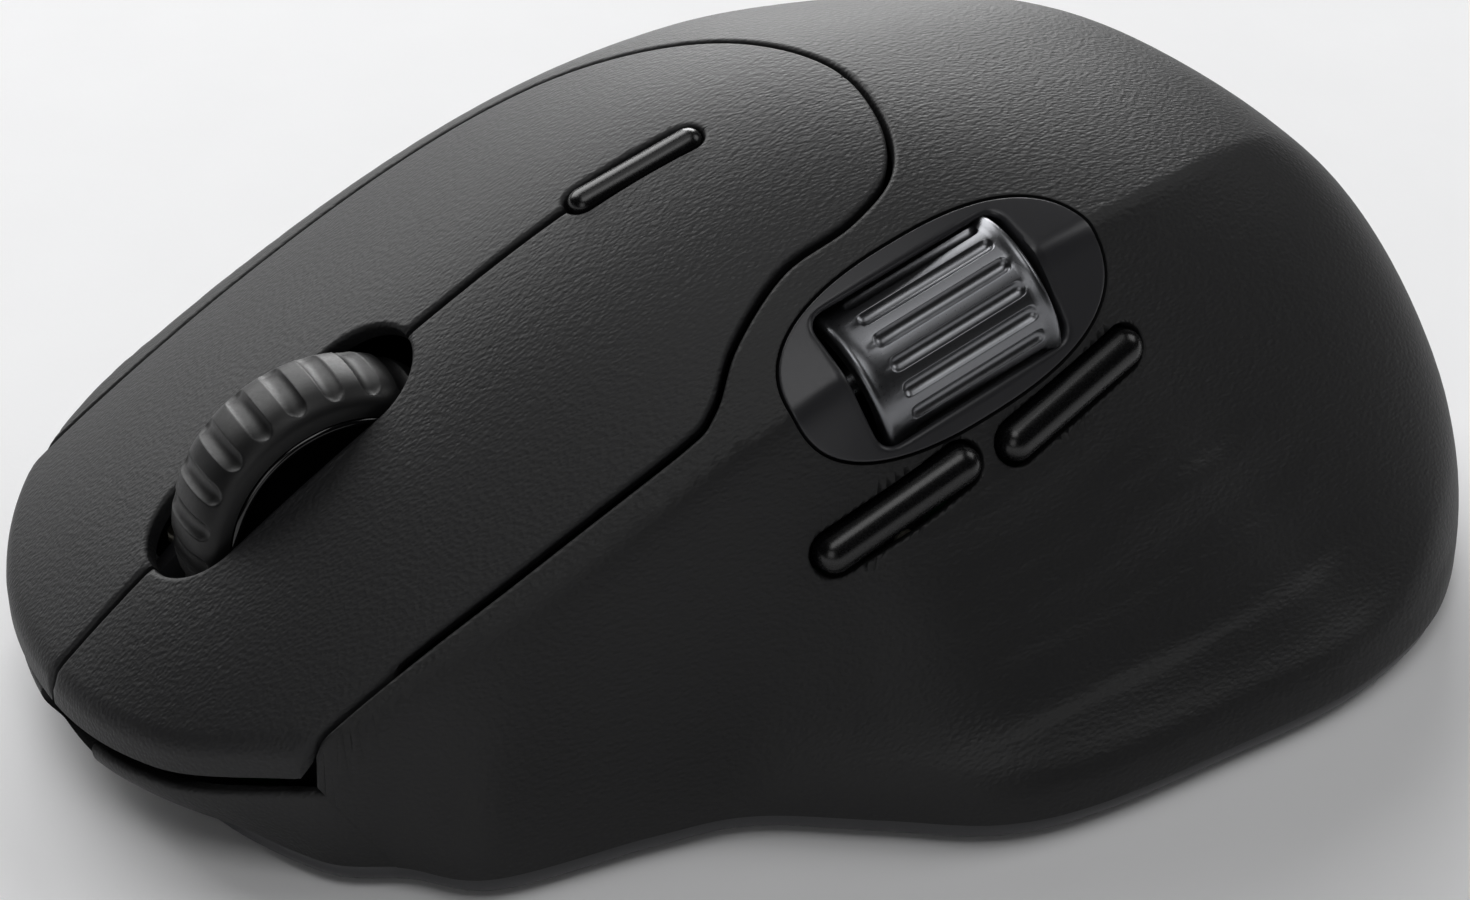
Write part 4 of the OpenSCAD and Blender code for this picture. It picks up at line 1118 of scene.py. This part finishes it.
# ---- pill buttons
def button(name, place, length, width, crest, skirt, node):
    """Domed pill: rings drawn in to a thin crest, closed by one face across the crest and one across the
    foot.
    """
    half = width / 2
    rings = []
    for inset, z in [(0.25, skirt), (0, skirt + 0.3)]:
        ring = pill(length, width, inset)
        rings.append(np.column_stack([ring, np.full(len(ring), z)]))
    for share in (0.03, 0.09, 0.18, 0.3, 0.44, 0.6, 0.78, 0.95):
        ring = pill(length, width, half * share)
        z = crest - half * 0.9 * (1 - round_over(share, 2.1))
        rings.append(np.column_stack([ring, np.full(len(ring), z)]))
    k = len(rings[0])
    faces = [(i * k + t, i * k + (t + 1) % k, (i + 1) * k + (t + 1) % k, (i + 1) * k + t)
             for i in range(len(rings) - 1) for t in range(k)]
    last = (len(rings) - 1) * k
    faces.append(tuple(last + t for t in range(k)))
    faces.append(tuple(range(k - 1, -1, -1)))
    add_piece(name, out_of(place, np.vstack(rings)), faces, satin_button, node, [node])


# Length, width, and heights of the crest and the skirt from the surface
SIDE_SIZE, MODE_SIZE = (16, 3.4, 1.1, -3.0), (13, 2.7, 0.55, -2.6)
button("front_side_cap", FRONT_SIDE, *SIDE_SIZE, "front_side_button")
button("rear_side_cap", REAR_SIDE, *SIDE_SIZE, "rear_side_button")
button("mode_cap", MODE, *MODE_SIZE, "mode_button")

# ---- floor, lights and camera
# Half the side of the floor
FLOOR = 1400.0
floor_mesh = bpy.data.meshes.new("studio_floor")
corner = FLOOR * MM
floor_corners = [(-corner, -corner, 0), (corner, -corner, 0), (corner, corner, 0), (-corner, corner, 0)]
floor_mesh.from_pydata(floor_corners, [], [(0, 1, 2, 3)])
studio_floor = bpy.data.objects.new("studio_floor", floor_mesh)
bpy.context.scene.collection.objects.link(studio_floor)
# Pale matte paper under the mouse: no sheen
studio_paper = finish("pale_studio_paper", "#f2f2f3", "#f6f6f7", (0.85, 0.95), 0.6, 0.01, IOR=1.45)
floor_mesh.materials.append(studio_paper)

WORLD_GLOW = 0.01
world = bpy.data.worlds.new("studio")
bpy.context.scene.world = world
world.use_nodes = True
world.node_tree.nodes["Background"].inputs[0].default_value = linear("#f4f5f7")
world.node_tree.nodes["Background"].inputs[1].default_value = WORLD_GLOW


def direction(azimuth, elevation):
    a, e = np.radians(azimuth), np.radians(elevation)
    return np.array([np.sin(a) * np.cos(e), -np.cos(a) * np.cos(e), np.sin(e)])


def stand_at(holder, back, at):
    """Puts a lamp or the camera at a place, looking along the opposite of back."""
    right = unit(np.cross([0, 0, 1], back))
    axes = np.column_stack([right, np.cross(back, right), back])
    holder.matrix_world = Matrix([[*row, p] for row, p in zip(axes, at)] + [[0, 0, 0, 1]])
    bpy.context.scene.collection.objects.link(holder)


# Distance and side of the lamps and the height they look at, in metres
LAMP_REACH, LAMP_SIZE, LAMP_AIM = 1.4, 0.7, 0.02


def softbox(name, azimuth, elevation, power, size=LAMP_SIZE):
    lamp = bpy.data.lights.new(name, "AREA")
    lamp.shape = "SQUARE"
    lamp.size, lamp.energy = size, power
    back = direction(azimuth, elevation)
    stand_at(bpy.data.objects.new(name, lamp), back, back * LAMP_REACH + [0, 0, LAMP_AIM])


# Azimuth, elevation and power in watts
softbox("rear_softbox", 240, 20, 12.0)
softbox("rear_left_softbox", 280, 34, 13.2, 1.0)
softbox("front_low_fill", 50, 22, 1.9)
softbox("front_high_fill", 62, 68, 3.7)
softbox("thumb_side_fill", 165, 40, 3.2)
softbox("top_fill", 240, 85, 1.2)

AZIMUTH, ELEVATION, DISTANCE = 60.5, 34.14, 296.5
TARGET = np.array([0.5, 0, 18])
LENS, SENSOR, SHIFT, CLIP_START = 83.27, 36, (0.00823, -0.00272), 0.01
back = direction(AZIMUTH, ELEVATION)
camera = bpy.data.objects.new("camera", bpy.data.cameras.new("camera"))
camera.data.lens, camera.data.sensor_width = LENS, SENSOR
camera.data.shift_x, camera.data.shift_y = SHIFT
camera.data.clip_start = CLIP_START
stand_at(camera, back, to_frame(TARGET + back * DISTANCE))
bpy.context.scene.camera = camera
bpy.context.scene.view_settings.view_transform = "Standard"
